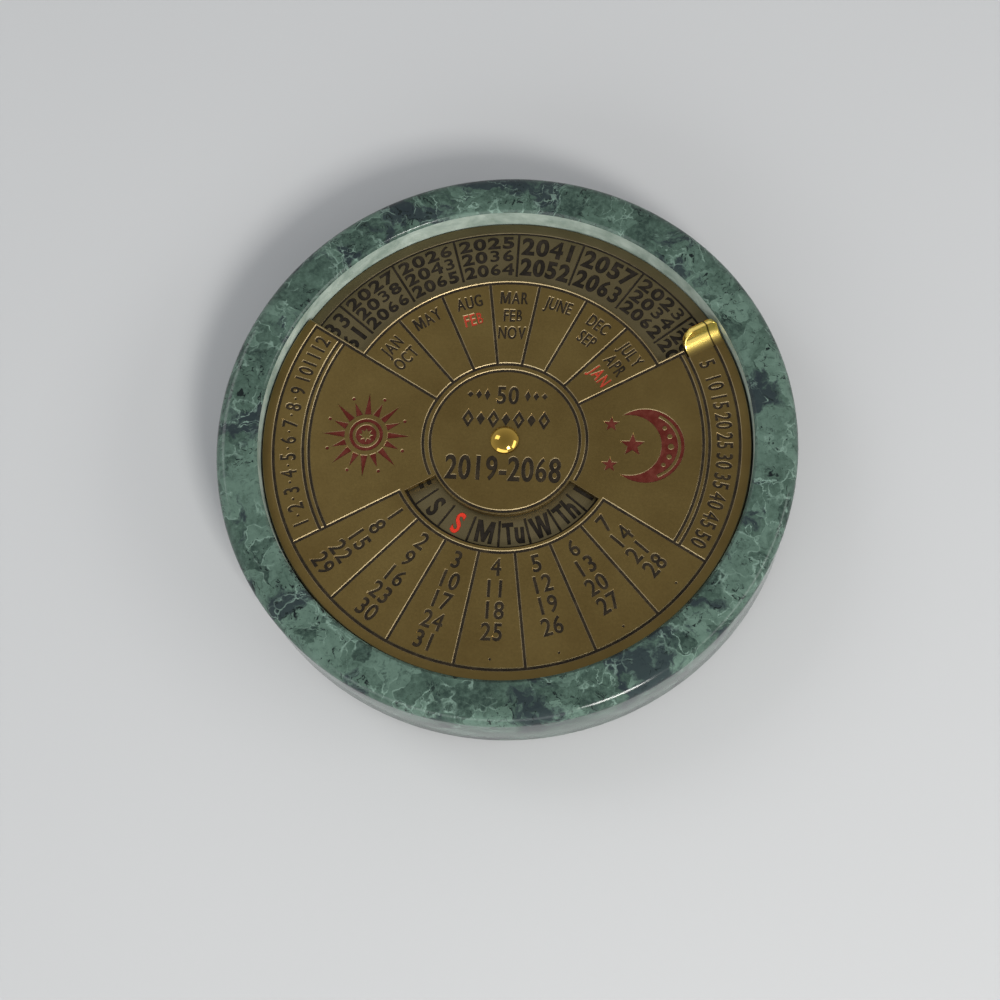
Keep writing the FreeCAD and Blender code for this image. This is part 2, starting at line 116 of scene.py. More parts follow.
class Outline:
    """Closed outline in plan, in millimetres."""

    SAG = 0.004
    MITRE = 2.5
    LEAST_SHARE = 0.15
    TRIES = 10

    def __init__(self, points: list[Vector] | None = None) -> None:
        """Starts an outline.

        Args:
            points: Points that it starts with.
        """
        self.points = points or []

    def corner(self, point: Vector) -> "Outline":
        """Goes straight to a point."""
        if not self.points or (self.points[-1] - point).length > TINY:
            self.points.append(point)
        return self

    def arc(self, radius: float, start: float, end: float, centre: Vector = Vector((0.0, 0.0))) -> "Outline":
        """Goes straight to the start of an arc and then round it.

        Args:
            radius: The arc's radius.
            start: Angle that it starts at.
            end: Angle that it ends at, less than start for a clockwise arc.
            centre: The arc's centre.

        Returns:
            The outline itself.
        """
        step = 2.0 * math.degrees(math.acos(1.0 - self.SAG / radius))
        pieces = max(1, math.ceil(abs(end - start) / step))
        for piece in range(pieces + 1):
            self.corner(centre + polar(radius, start + (end - start) * piece / pieces))
        return self

    def closed(self) -> "Outline":
        """Drops the last point where it is the first again."""
        if (self.points[0] - self.points[-1]).length < TINY:
            self.points.pop()
        return self

    def area(self) -> float:
        """Area inside, positive where the outline goes anticlockwise."""
        after = self.points[1:] + self.points[:1]
        return sum(first.cross(second) for first, second in zip(self.points, after)) / 2.0

    def holds(self, point: Vector) -> bool:
        """Whether a point is inside."""
        inside = False
        for first, second in zip(self.points, self.points[1:] + self.points[:1]):
            if (first.y > point.y) != (second.y > point.y):
                share = (point.y - first.y) / (second.y - first.y)
                inside ^= point.x < first.x + share * (second.x - first.x)
        return inside

    def moved(self, place: Matrix) -> "Outline":
        """Copy of the outline carried by a matrix."""
        return Outline([(place @ point.to_3d()).to_2d() for point in self.points])

    def shifted(self, distance: float) -> "Outline":
        """Copy moved sideways, to the right of the way round, less far where it would cross itself."""
        area = self.area()
        for _ in range(self.TRIES):
            moved = self.beside(distance)
            if moved.area() / area > self.LEAST_SHARE and moved.plain():
                return moved
            distance *= 0.7
        return self

    def plain(self) -> bool:
        """Whether no side meets another one."""
        count = len(self.points)
        sides = [(step, (step + 1) % count) for step in range(count)]
        return len(delaunay_2d_cdt(self.points, sides, [], 0, TINY)[0]) == count

    def beside(self, distance: float) -> "Outline":
        """Copy with each point moved along the mitre of its corner."""
        points = []
        count = len(self.points)
        for step, point in enumerate(self.points):
            ahead = (self.points[(step + 1) % count] - point).normalized()
            behind = (point - self.points[step - 1]).normalized()
            right = Vector((ahead.y + behind.y, -ahead.x - behind.x))
            reach = 1.0 + ahead.dot(behind)
            mitre = right / reach if reach > TINY else Vector((behind.y, -behind.x))
            if mitre.length > self.MITRE:
                mitre *= self.MITRE / mitre.length
            points.append(point + mitre * distance)
        return Outline(points)


def circle(radius: float, centre: Vector = Vector((0.0, 0.0))) -> Outline:
    """Round outline."""
    return Outline().arc(radius, 0.0, FULL_TURN, centre).closed()


def sector(inner: float, outer: float, start: float, end: float, first: float, last: float) -> Outline:
    """Outline between two rays and two circles.

    Args:
        inner: Inner radius.
        outer: Outer radius.
        start: Angle of the first ray.
        end: Angle of the last ray.
        first: Gap kept to the first ray.
        last: Gap kept to the last ray.

    Returns:
        The outline.
    """
    shape = Outline()
    shape.arc(outer, start + off(first, outer), end - off(last, outer))
    return shape.arc(inner, end - off(last, inner), start + off(first, inner)).closed()


def oriented(outlines: list[Outline]) -> list[Outline]:
    """Outlines with what they bound always on their left, where one inside another is a hole."""
    made = []
    for own in outlines:
        depth = sum(other is not own and other.holds(own.points[0]) for other in outlines)
        forward = (own.area() > 0.0) == (depth % 2 == 0)
        made.append(own if forward else Outline(own.points[::-1]))
    return made


def inner_triangles(points: list[Vector], sides: list[tuple[int, int]]) -> tuple[list, list, list]:
    """Triangles between closed rings, where one inside another is a hole.

    Args:
        points: Points of all rings.
        sides: Pairs of point numbers that are the rings' sides.

    Returns:
        The points, the triangles as point numbers, and for each point the numbers that it had.
    """
    places, edges, faces, origins, edge_origins, _ = delaunay_2d_cdt(points, sides, [], 0, TINY)
    walls = {frozenset(edge) for edge, found in zip(edges, edge_origins) if len(found) % 2}
    beside: dict[frozenset, list[int]] = {}
    for number, face in enumerate(faces):
        for pair in zip(face, face[1:] + face[:1]):
            beside.setdefault(frozenset(pair), []).append(number)
    inside = {numbers[0]: side in walls for side, numbers in beside.items() if len(numbers) == 1}
    queue = deque(inside)
    while queue:
        number = queue.popleft()
        face = faces[number]
        for pair in zip(face, face[1:] + face[:1]):
            side = frozenset(pair)
            for other in beside[side]:
                if other not in inside:
                    inside[other] = inside[number] != (side in walls)
                    queue.append(other)
    return places, [faces[number] for number in inside if inside[number]], origins


def add_cap(form: bmesh.types.BMesh, rings: list[list[bmesh.types.BMVert]], finish: int) -> None:
    """Fills between flat rings of points, where one inside another is a hole."""
    points = [point for ring in rings for point in ring]
    sides = []
    for ring in rings:
        base = len(sides)
        sides += [(base + step, base + (step + 1) % len(ring)) for step in range(len(ring))]
    flat = [point.co.to_2d() for point in points]
    places, faces, origins = inner_triangles(flat, sides)
    height = points[0].co.z
    corners = []
    for place, origin in zip(places, origins):
        corners.append(points[origin[0]] if origin else form.verts.new((place.x, place.y, height)))
    for face in faces:
        if len({corners[corner] for corner in face}) == len(face):
            form.faces.new([corners[corner] for corner in face]).material_index = finish


def add_solid(form: bmesh.types.BMesh, outlines: list[Outline], layers: list[tuple[float, list[float]]],
              edge_finish: int = 0) -> None:
    """Adds a flat solid with stepped or sloped sides.

    Args:
        form: The form that it is added to, in millimetres.
        outlines: Outlines of the solid, where one inside another is a hole.
        layers: Heights from the bottom up, each with how far each outline is moved out there.
        edge_finish: Material number of the sides between the last two heights.
    """
    outlines = oriented(outlines)
    levels = []
    for height, shifts in layers:
        rings = [outline.shifted(shift) if shift else outline for outline, shift in zip(outlines, shifts)]
        level = []
        for ring in rings:
            level.append([form.verts.new((point.x, point.y, height)) for point in ring.points])
        levels.append(level)
    for lower, upper in zip(levels, levels[1:]):
        finish = edge_finish if upper is levels[-1] else 0
        for below, above in zip(lower, upper):
            for step in range(len(below)):
                after = (step + 1) % len(below)
                side = form.faces.new((below[step], below[after], above[after], above[step]))
                side.material_index = finish
    add_cap(form, levels[0], 0)
    add_cap(form, levels[-1], 0)


def add_plate(form: bmesh.types.BMesh, outlines: list[Outline], low: float, high: float, grow: float = 0.0,
              edge: float = 0.0) -> None:
    """Adds a flat plate.

    Args:
        form: The form that it is added to, in millimetres.
        outlines: The plate's outlines and holes.
        low: Height of its underside.
        high: Height of its top.
        grow: How far its sides stand out from the outlines.
        edge: Size of the chamfer on its lower edges.
    """
    count = len(outlines)
    layers = [(low, [grow - edge] * count), (high, [grow] * count)]
    if edge:
        layers.insert(1, (low + edge, [grow] * count))
    add_solid(form, outlines, layers)


def closed_mesh(form: bmesh.types.BMesh, name: str) -> bpy.types.Mesh:
    """Finished mesh of a form made of flat solids."""
    bmesh.ops.recalc_face_normals(form, faces=form.faces)
    return finished(form, name, FLAT_SHARP)


def finished(form: bmesh.types.BMesh, name: str, sharp: float = TURNED_SHARP) -> bpy.types.Mesh:
    """Mesh in metres from a form in millimetres, smooth except at its sharp edges.

    Args:
        form: The form, which is freed.
        name: Name of the mesh.
        sharp: Angle in degrees past which an edge stays sharp.

    Returns:
        The mesh.
    """
    mesh = bpy.data.meshes.new(name)
    form.to_mesh(mesh)
    form.free()
    mesh.transform(Matrix.Scale(MM, 4))
    mesh.shade_smooth()
    mesh.set_sharp_from_angle(angle=math.radians(sharp))
    return mesh


def spun(profile: list[tuple[float, float]], steps: int) -> bmesh.types.BMesh:
    """Turned form from a profile of (radius, height) points that starts and ends on the axis.

    Args:
        profile: Points from the middle of the underside out and up to the middle of the top.
        steps: Steps in the full turn.

    Returns:
        The closed form, faces outward.
    """
    form = bmesh.new()
    points = [form.verts.new((radius, 0.0, height)) for radius, height in profile]
    for first, second in zip(points, points[1:]):
        form.edges.new((first, second))
    bmesh.ops.spin(form, geom=form.verts[:] + form.edges[:], cent=(0.0, 0.0, 0.0), axis=(0.0, 0.0, 1.0),
                   angle=math.tau, steps=steps, use_merge=True)
    bmesh.ops.remove_doubles(form, verts=form.verts, dist=TINY)
    bmesh.ops.recalc_face_normals(form, faces=form.faces)
    return form


def rounded(centre: tuple[float, float], radius: float, start: float, end: float,
            steps: int) -> list[tuple[float, float]]:
    """Points of a round stretch of a profile.

    Args:
        centre: Its centre as (radius, height).
        radius: Its own radius.
        start: Angle that it starts at.
        end: Angle that it ends at.
        steps: Steps along it.

    Returns:
        The points in order.
    """
    points = []
    for step in range(steps + 1):
        spoke = polar(radius, start + (end - start) * step / steps)
        points.append((centre[0] + spoke.x, centre[1] + spoke.y))
    return points


def show(name: str, mesh: bpy.types.Mesh, body: Body, finishes: list[bpy.types.Material],
         replaces: tuple[str, ...] = ()) -> bpy.types.Object:
    """Puts a finished mesh into the scene as a piece of the calendar.

    Args:
        name: The piece's name.
        mesh: Its mesh, in metres and in place.
        body: The body that it rides on.
        finishes: Materials for the mesh's material numbers, in order.
        replaces: CAD nodes that it stands for.

    Returns:
        The piece.
    """
    obj = bpy.data.objects.new(name, mesh)
    bpy.context.scene.collection.objects.link(obj)
    for finish in finishes:
        mesh.materials.append(finish)
    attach(obj, body.value)
    if replaces:
        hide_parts(*replaces)
    log.info("%s: %d faces on %s", name, len(mesh.polygons), body.value)
    return obj


class Shader:
    """Short way to lay out the nodes of one material. Patterns are placed in millimetres."""

    def __init__(self, name: str, place: tuple[float, float, float] = (0.0, 0.0, 0.0)) -> None:
        """Starts a material with a Principled shader and coordinates on the object.

        Args:
            name: The material's name.
            place: Shift of the patterns, in millimetres.
        """
        self.material = bpy.data.materials.new(name)
        self.material.use_nodes = True
        self.tree = self.material.node_tree
        self.surface = self.tree.nodes["Principled BSDF"]
        coordinates = self.tree.nodes.new("ShaderNodeTexCoord").outputs["Object"]
        scale = (1.0 / MM, 1.0 / MM, 1.0 / MM)
        mapping = self.node("ShaderNodeMapping", {"Vector": coordinates, "Location": place, "Scale": scale})
        self.place = mapping.outputs["Vector"]

    def node(self, kind: str, inputs: dict, **settings: object) -> bpy.types.Node:
        """Adds a node.

        Args:
            kind: The node's type.
            inputs: Values or sockets by the name or number of the input.
            settings: The node's own settings.

        Returns:
            The node.
        """
        node = self.tree.nodes.new(kind)
        for key, value in settings.items():
            setattr(node, key, value)
        for key, value in inputs.items():
            if isinstance(value, bpy.types.NodeSocket):
                self.tree.links.new(value, node.inputs[key])
            else:
                node.inputs[key].default_value = value
        return node

    def noise(self, scale: float, detail: float = 3.0, roughness: float = 0.55, warp: float = 0.0,
              at: bpy.types.NodeSocket | None = None) -> bpy.types.NodeSocket:
        """Cloudy pattern from 0 to 1, with a number of clouds to the millimetre."""
        return self.node("ShaderNodeTexNoise", {"Vector": at or self.place, "Scale": scale, "Detail": detail,
                                                "Roughness": roughness, "Distortion": warp}).outputs["Fac"]

    def math(self, operation: str, first: object, second: object = 0.0) -> bpy.types.NodeSocket:
        """Result of one sum."""
        return self.node("ShaderNodeMath", {0: first, 1: second}, operation=operation).outputs[0]

    def vector(self, operation: str, first: object, second: object) -> bpy.types.NodeSocket:
        """Result of one operation on two vectors."""
        return self.node("ShaderNodeVectorMath", {0: first, 1: second}, operation=operation).outputs[0]

    def drift(self, scale: float, detail: float, reach: float) -> bpy.types.NodeSocket:
        """Wandering shift for a pattern, up to a reach in millimetres."""
        clouds = self.node("ShaderNodeTexNoise", {"Vector": self.place, "Scale": scale, "Detail": detail})
        return self.vector("MULTIPLY", clouds.outputs["Color"], (reach, reach, reach))

    def band(self, value: bpy.types.NodeSocket, low: float, high: float, at_low: float = 0.0,
             at_high: float = 1.0) -> bpy.types.NodeSocket:
        """Value moved from one range to another and held at its ends."""
        inputs = {"Value": value, "From Min": low, "From Max": high, "To Min": at_low, "To Max": at_high}
        return self.node("ShaderNodeMapRange", inputs, clamp=True).outputs["Result"]

    def mix(self, share: object, first: object, second: object) -> bpy.types.NodeSocket:
        """Colour between two others."""
        first = (*first, 1.0) if isinstance(first, tuple) else first
        second = (*second, 1.0) if isinstance(second, tuple) else second
        return self.node("ShaderNodeMix", {0: share, 6: first, 7: second}, data_type="RGBA").outputs[2]

    def vein(self, scale: float, width: float, detail: float = 3.0, warp: float = 0.6,
             at: bpy.types.NodeSocket | None = None) -> bpy.types.NodeSocket:
        """Thin wandering lines, 1 on the line and 0 beside it."""
        centred = self.math("SUBTRACT", self.noise(scale, detail, 0.5, warp, at), 0.5)
        return self.band(self.math("ABSOLUTE", centred), 0.0, width, 1.0, 0.0)

    def bump(self, height: bpy.types.NodeSocket, depth: float, strength: float = 1.0) -> None:
        """Relief on the surface, as deep as given in millimetres."""
        made = self.node("ShaderNodeBump", {"Height": height, "Distance": depth * MM, "Strength": strength})
        self.tree.links.new(made.outputs["Normal"], self.surface.inputs["Normal"])

    def set(self, **inputs: object) -> "Shader":
        """Sets the shader's own inputs, named with underscores for spaces."""
        for key, value in inputs.items():
            socket = self.surface.inputs[key.replace("_", " ")]
            if isinstance(value, bpy.types.NodeSocket):
                self.tree.links.new(value, socket)
            elif isinstance(value, tuple):
                socket.default_value = (*value, 1.0)
            else:
                socket.default_value = value
        return self


@dataclass(frozen=True)
class Marble:
    """Polished green marble with blue-black clouds, dark flecks and pale veins."""

    deep: Colour = (0.017, 0.032, 0.026)
    ground: Colour = (0.040, 0.070, 0.054)
    light: Colour = (0.086, 0.138, 0.110)
    slate: Colour = (0.013, 0.019, 0.024)
    fleck: Colour = (0.005, 0.009, 0.009)
    pale: Colour = (0.200, 0.295, 0.245)
    patch_scale: float = 0.30
    seam_width: float = 0.05
    grain_share: float = 0.55
    shadow_share: float = 0.6
    slate_share: float = 0.88
    seam_share: float = 0.55
    vein_share: float = 0.7
    shine: float = 0.14

    def make(self) -> bpy.types.Material:
        """Builds the material."""
        shader = Shader("green marble", (3.0, -7.0, 2.0))
        push = shader.drift(0.18, 2.0, 6.0)
        shake = shader.drift(0.9, 3.0, 1.6)
        at = shader.vector("ADD", shader.vector("ADD", shader.place, push), shake)
        grain = shader.noise(1.5, 6.0, 0.72)
        colour = self.patches(shader, at)
        colour = shader.mix(shader.band(grain, 0.42, 0.72, 0.0, self.grain_share), colour, self.light)
        colour = self.darkened(shader, colour, at)
        colour = self.veined(shader, colour, at)
        gloss = shader.band(grain, 0.3, 0.8, self.shine - 0.03, self.shine + 0.05)
        shader.set(Base_Color=colour, Roughness=gloss, IOR=1.45, Specular_IOR_Level=0.24)
        shader.bump(grain, 0.003)
        return shader.material

    def patches(self, shader: Shader, at: bpy.types.NodeSocket) -> bpy.types.NodeSocket:
        """Wandering patches in three greens.

        Args:
            shader: Shader that the pattern is added to.
            at: Place, shifted so that the patches wander.

        Returns:
            Their colour.
        """
        cells = shader.node("ShaderNodeTexVoronoi", {"Vector": at, "Scale": self.patch_scale})
        tone = shader.node("ShaderNodeSeparateColor", {"Color": cells.outputs["Color"]}).outputs["Red"]
        clouds = shader.noise(0.22, 6.0, 0.62, 0.3, at)
        mixed = shader.math("ADD", shader.math("MULTIPLY", tone, 0.45), shader.math("MULTIPLY", clouds, 0.9))
        colour = shader.mix(shader.band(mixed, 0.42, 0.66), self.deep, self.ground)
        return shader.mix(shader.band(mixed, 0.66, 0.95), colour, self.light)

    def darkened(self, shader: Shader, colour: bpy.types.NodeSocket,
                 at: bpy.types.NodeSocket) -> bpy.types.NodeSocket:
        """Adds shadows, blue-black clouds and dark flecks.

        Args:
            shader: Shader that the pattern is added to.
            colour: Colour under them.
            at: Place, shifted so that they wander.

        Returns:
            The colour with them.
        """
        shadows = shader.band(shader.noise(1.1, 6.0, 0.7, 0.6), 0.52, 0.66, 0.0, self.shadow_share)
        colour = shader.mix(shadows, colour, self.deep)
        slates = shader.band(shader.noise(0.12, 6.0, 0.62, 0.5, at), 0.54, 0.60, 0.0, self.slate_share)
        colour = shader.mix(slates, colour, self.slate)
        dashes = shader.band(shader.noise(0.80, 4.0, 0.6, 1.6, at), 0.575, 0.625)
        zones = shader.band(shader.noise(0.16, 3.0, 0.55), 0.44, 0.54)
        return shader.mix(shader.math("MULTIPLY", dashes, zones), colour, self.fleck)

    def veined(self, shader: Shader, colour: bpy.types.NodeSocket,
               at: bpy.types.NodeSocket) -> bpy.types.NodeSocket:
        """Adds pale seams round the patches and pale veins through them, both broken.

        Args:
            shader: Shader that the pattern is added to.
            colour: Colour under them.
            at: Place, shifted so that they wander.

        Returns:
            The colour with them.
        """
        inputs = {"Vector": at, "Scale": self.patch_scale}
        seams = shader.node("ShaderNodeTexVoronoi", inputs, feature="DISTANCE_TO_EDGE")
        seam = shader.band(seams.outputs["Distance"], 0.0, self.seam_width, 1.0, 0.0)
        broken = shader.band(shader.noise(0.30, 3.0), 0.50, 0.62)
        pale_seam = shader.math("MULTIPLY", seam, shader.math("MULTIPLY", broken, self.seam_share))
        colour = shader.mix(pale_seam, colour, self.pale)
        gaps = shader.band(shader.noise(0.2, 3.0), 0.45, 0.6)
        veins = shader.math("MULTIPLY", shader.vein(0.11, 0.008, 5.0, 0.9, at), gaps)
        return shader.mix(shader.math("MULTIPLY", veins, self.vein_share), colour, self.pale)


@dataclass(frozen=True)
class GroundMarble:
    """The same marble where it is only ground, in the recess, pale and dull."""

    pale: Colour = (0.340, 0.400, 0.355)
    shade: Colour = (0.185, 0.240, 0.205)
    roughness: float = 0.55

    def make(self) -> bpy.types.Material:
        """Builds the material."""
        shader = Shader("ground marble")
        clouds = shader.noise(0.35, 5.0, 0.6, 0.4)
        scratches = shader.noise(3.5, 4.0, 0.7)
        colour = shader.mix(shader.band(clouds, 0.35, 0.68), self.shade, self.pale)
        shader.set(Base_Color=colour, Roughness=self.roughness, IOR=1.5)
        shader.bump(scratches, 0.02)
        return shader.material


@dataclass(frozen=True)
class Brass:
    """Brass sheet or turned brass, lacquered and more or less dull."""

    name: str
    colour: Colour
    dark: Colour
    roughness: float
    spread: float = 0.06
    grain: float = 3.0
    relief: float = 0.004

    def make(self) -> bpy.types.Material:
        """Builds the material."""
        shader = Shader(self.name)
        clouds = shader.band(shader.noise(0.10, 4.0, 0.6), 0.32, 0.70)
        fine = shader.noise(self.grain, 4.0, 0.7)
        colour = shader.mix(clouds, self.dark, self.colour)
        spots = shader.band(shader.noise(0.9, 3.0, 0.6), 0.70, 0.78, 0.0, 0.45)
        colour = shader.mix(spots, colour, self.dark)
        rough = shader.band(fine, 0.3, 0.75, self.roughness - self.spread, self.roughness + self.spread)
        shader.set(Base_Color=colour, Metallic=1.0, Roughness=rough)
        shader.bump(fine, self.relief)
        return shader.material


@dataclass(frozen=True)
class TabBrass:
    """Brass of the finger tab: glossier up the tab where fingers polish it, its colour brightened there as a
    painted highlight, and dull again at the bend.
    """

    root_height: float
    line_radius: float
    line_half: float = 0.14
    # Colour up the tab: a painted highlight, far brighter than the plate's brass.
    bright: Colour = (1.000, 0.740, 0.190)
    dull: Colour = (0.204, 0.143, 0.049)
    ink: Colour = (0.030, 0.020, 0.010)
    fade: float = 0.35
    dull_roughness: float = 0.36
    bright_roughness: float = 0.17

    def make(self) -> bpy.types.Material:
        """Builds the material."""
        shader = Shader("tab brass")
        parts = shader.node("ShaderNodeSeparateXYZ", {"Vector": shader.place}).outputs
        plan = shader.node("ShaderNodeCombineXYZ", {"X": parts["X"], "Y": parts["Y"]}).outputs["Vector"]
        reach = shader.node("ShaderNodeVectorMath", {0: plan}, operation="LENGTH").outputs["Value"]
        beside = shader.math("ABSOLUTE", shader.math("SUBTRACT", reach, self.line_radius))
        line = shader.band(beside, self.line_half * 0.6, self.line_half, 1.0, 0.0)
        fine = shader.noise(2.5, 4.0, 0.7)
        # Rises with height up the tab: it makes the brass glossier, from finger polish, and paints its colour
        # brighter as a painted highlight.
        worn = shader.band(parts["Z"], self.root_height, self.root_height + self.fade)
        colour = shader.mix(worn, self.dull, self.bright)
        colour = shader.mix(shader.math("MULTIPLY", line, 0.85), colour, self.ink)
        rough = shader.band(worn, 0.0, 1.0, self.dull_roughness, self.bright_roughness)
        shader.set(Base_Color=colour, Metallic=1.0, Roughness=rough)
        shader.bump(fine, 0.006)
        return shader.material


@dataclass(frozen=True)
class Enamel:
    """Baked enamel in the etching, uneven and slightly sunk."""

    name: str
    colour: Colour
    worn: Colour
    roughness: float = 0.38

    def make(self) -> bpy.types.Material:
        """Builds the material."""
        shader = Shader(self.name)
        patches = shader.noise(0.8, 5.0, 0.65)
        fine = shader.noise(5.0, 3.0, 0.6)
        colour = shader.mix(shader.band(patches, 0.42, 0.72, 0.0, 0.8), self.colour, self.worn)
        rough = shader.band(fine, 0.3, 0.7, self.roughness - 0.08, self.roughness + 0.1)
        shader.set(Base_Color=colour, Roughness=rough, IOR=1.5, Specular_IOR_Level=0.06)
        shader.bump(fine, 0.008)
        return shader.material


@dataclass(frozen=True)
class Felt:
    """Pressed wool felt."""

    dark: Colour = (0.010, 0.040, 0.026)
    light: Colour = (0.026, 0.085, 0.058)

    def make(self) -> bpy.types.Material:
        """Builds the material."""
        shader = Shader("green felt")
        hair = shader.noise(4.5, 6.0, 0.75, 2.5)
        clumps = shader.noise(0.7, 4.0, 0.6)
        colour = shader.mix(shader.band(hair, 0.35, 0.65), self.dark, self.light)
        colour = shader.mix(shader.band(clumps, 0.4, 0.75, 0.0, 0.4), colour, self.light)
        shader.set(Base_Color=colour, Roughness=0.95, Sheen_Weight=0.5, Sheen_Roughness=0.5, IOR=1.35)
        shader.bump(hair, 0.12)
        return shader.material


@dataclass(frozen=True)
class Plain:
    """Simple inner material with a fine uneven surface."""

    name: str
    colour: Colour
    roughness: float
    metallic: float = 0.0

    def make(self) -> bpy.types.Material:
        """Builds the material."""
        shader = Shader(self.name)
        fine = shader.noise(1.8, 5.0, 0.65)
        darker = tuple(channel * 0.8 for channel in self.colour)
        colour = shader.mix(shader.band(fine, 0.35, 0.7), darker, self.colour)
        shader.set(Base_Color=colour, Metallic=self.metallic, Roughness=self.roughness)
        shader.bump(fine, 0.01)
        return shader.material


@dataclass
class Glyph:
    """One character of the typeface."""

    outlines: list[Outline]
    left: float
    right: float
    height: float

    @classmethod
    def around(cls, outlines: list[Outline]) -> "Glyph":
        """Glyph made of outlines, with its sides and its height measured."""
        points = [point for outline in outlines for point in outline.points]
        across = [point.x for point in points]
        return cls(outlines, min(across), max(across), max(point.y for point in points))


class TypeCase:
    """Characters of the built-in typeface as outlines, each drawn once."""

    CAPITAL = "H"
    W_CORNERS = ((0.0, 0.70), (0.13, 0.70), (0.26, 0.19), (0.405, 0.70), (0.545, 0.70), (0.69, 0.19),
                 (0.82, 0.70), (0.95, 0.70), (0.765, 0.0), (0.615, 0.0), (0.475, 0.48), (0.335, 0.0),
                 (0.185, 0.0))
    M_CORNERS = ((0.0, 0.0), (0.0, 0.70), (0.16, 0.70), (0.41, 0.24), (0.66, 0.70), (0.82, 0.70),
                 (0.82, 0.0), (0.70, 0.0), (0.70, 0.46), (0.46, 0.03), (0.36, 0.03), (0.12, 0.46),
                 (0.12, 0.0))
    STEM = 0.11
    SMALL_WIDTH = 0.46
    SMALL_HEIGHT = 0.50
    TALL_HEIGHT = 0.72
    STRAIGHT = 0.004
    STEPS = 6

    def __init__(self) -> None:
        """Starts with the weekday letters that can't be made bold from the typeface, drawn anew."""
        zigzags = {"W": self.W_CORNERS, "M": self.M_CORNERS}
        own = {letter: Outline([Vector(corner) for corner in corners]) for letter, corners in zigzags.items()}
        own |= {"h": self.arched(), "u": self.bowled()}
        self.drawn = {letter: Glyph.around([outline]) for letter, outline in own.items()}
        self.capital = self.glyph(self.CAPITAL).height

    def arched(self) -> Outline:
        """Small letter with a tall stem and an arch."""
        bend = self.SMALL_WIDTH / 2.0
        middle = Vector((bend, self.SMALL_HEIGHT - bend))
        join = math.degrees(math.acos(self.STEM / bend - 1.0))
        stem = ((0.0, 0.0), (0.0, self.TALL_HEIGHT), (self.STEM, self.TALL_HEIGHT))
        shape = Outline([Vector(corner) for corner in stem])
        shape.arc(bend, join, 0.0, middle).corner(Vector((self.SMALL_WIDTH, 0.0)))
        shape.corner(Vector((self.SMALL_WIDTH - self.STEM, 0.0))).arc(bend - self.STEM, 0.0, 180.0, middle)
        return shape.corner(Vector((self.STEM, 0.0)))

    def bowled(self) -> Outline:
        """Small letter with a bowl between two short stems."""
        bend = self.SMALL_WIDTH / 2.0
        right = self.SMALL_WIDTH - self.STEM
        join = math.degrees(math.acos(1.0 - self.STEM / bend))
        shape = Outline([Vector((0.0, self.SMALL_HEIGHT)), Vector((self.STEM, self.SMALL_HEIGHT))])
        shape.arc(bend - self.STEM, 180.0, 360.0, Vector((bend, bend)))
        top = self.SMALL_HEIGHT
        for corner in ((right, top), (self.SMALL_WIDTH, top), (self.SMALL_WIDTH, 0.0), (right, 0.0)):
            shape.corner(Vector(corner))
        return shape.arc(bend, 360.0 - join, 180.0, Vector((bend, bend)))

    def glyph(self, character: str) -> Glyph:
        """Outlines of a character in the typeface's own units.

        Args:
            character: One character.

        Returns:
            The glyph, drawn now or before.
        """
        if character not in self.drawn:
            text = bpy.data.curves.new("character", "FONT")
            text.body = character
            holder = bpy.data.objects.new("character", text)
            bpy.context.scene.collection.objects.link(holder)
            bpy.context.view_layer.update()
            curve = holder.to_curve(bpy.context.evaluated_depsgraph_get())
            outlines = [self.outline(spline.bezier_points) for spline in curve.splines]
            holder.to_curve_clear()
            bpy.data.objects.remove(holder)
            bpy.data.curves.remove(text)
            self.drawn[character] = Glyph.around(outlines)
        return self.drawn[character]

    def outline(self, knots: bpy.types.SplineBezierPoints) -> Outline:
        """Outline through the knots of one spline."""
        made = Outline()
        for first, second in zip(knots, list(knots[1:]) + [knots[0]]):
            made.corner(first.co.to_2d())
            side = second.co - first.co
            if side.length < TINY:
                continue
            across = Vector((-side.y, side.x, 0.0)).normalized()
            ends = (first.handle_right - first.co, second.handle_left - first.co)
            if max(abs(end.dot(across)) for end in ends) > self.STRAIGHT:
                bend = (first.co, first.handle_right, second.handle_left, second.co)
                for point in interpolate_bezier(*bend, self.STEPS)[1:-1]:
                    made.corner(point.to_2d())
        return made.closed()


@dataclass(frozen=True)
class Word:
    """Characters set in a row on the calendar."""

    text: str
    radius: float
    angle: float
    height: float
    facing: Facing = Facing.OUTWARD
    width: float = 0.0
    stretch: float = 0.80
    gap: float = 0.20
    curved: bool = False
    bold: float = 0.03

    def outlines(self, case: TypeCase) -> list[Outline]:
        """Outlines of the word in place.

        Args:
            case: The characters.

        Returns:
            The outlines in plan.
        """
        glyphs = [case.glyph(character) for character in self.text]
        wide = case.glyph("0")
        digit = wide.right - wide.left
        spans = []
        for character, glyph in zip(self.text, glyphs):
            spans.append(digit if character.isdigit() else glyph.right - glyph.left)
        scale = self.height / case.capital
        gap = self.gap * case.capital
        total = sum(spans) + gap * (len(spans) - 1)
        stretch = self.width / (total * scale) if self.width else self.stretch
        made = []
        start = -total / 2.0
        for glyph, span in zip(glyphs, spans):
            middle = (start + span / 2.0) * scale * stretch
            start += span + gap
            shape = Matrix.Diagonal((scale * stretch, scale, 1.0, 1.0))
            centring = Matrix.Translation((-(glyph.left + glyph.right) / 2.0, -case.capital / 2.0, 0.0))
            place = self.place(middle) @ shape @ centring
            placed = oriented([outline.moved(place) for outline in glyph.outlines])
            made.extend(outline.shifted(self.bold) for outline in placed)
        return made

    def place(self, along: float) -> Matrix:
        """Matrix that carries a character, upright at the origin, to a distance along the word."""
        sign = self.facing.value
        bend = math.degrees(along / self.radius) if self.curved else 0.0
        angle = self.angle - sign * bend
        slide = 0.0 if self.curved else along
        turn = angle - TOP if self.facing is Facing.OUTWARD else angle + TOP
        spoke = polar(self.radius, angle).to_3d()
        upright = Matrix.Rotation(math.radians(turn), 4, "Z")
        return Matrix.Translation(spoke) @ upright @ Matrix.Translation((slide, 0.0, 0.0))


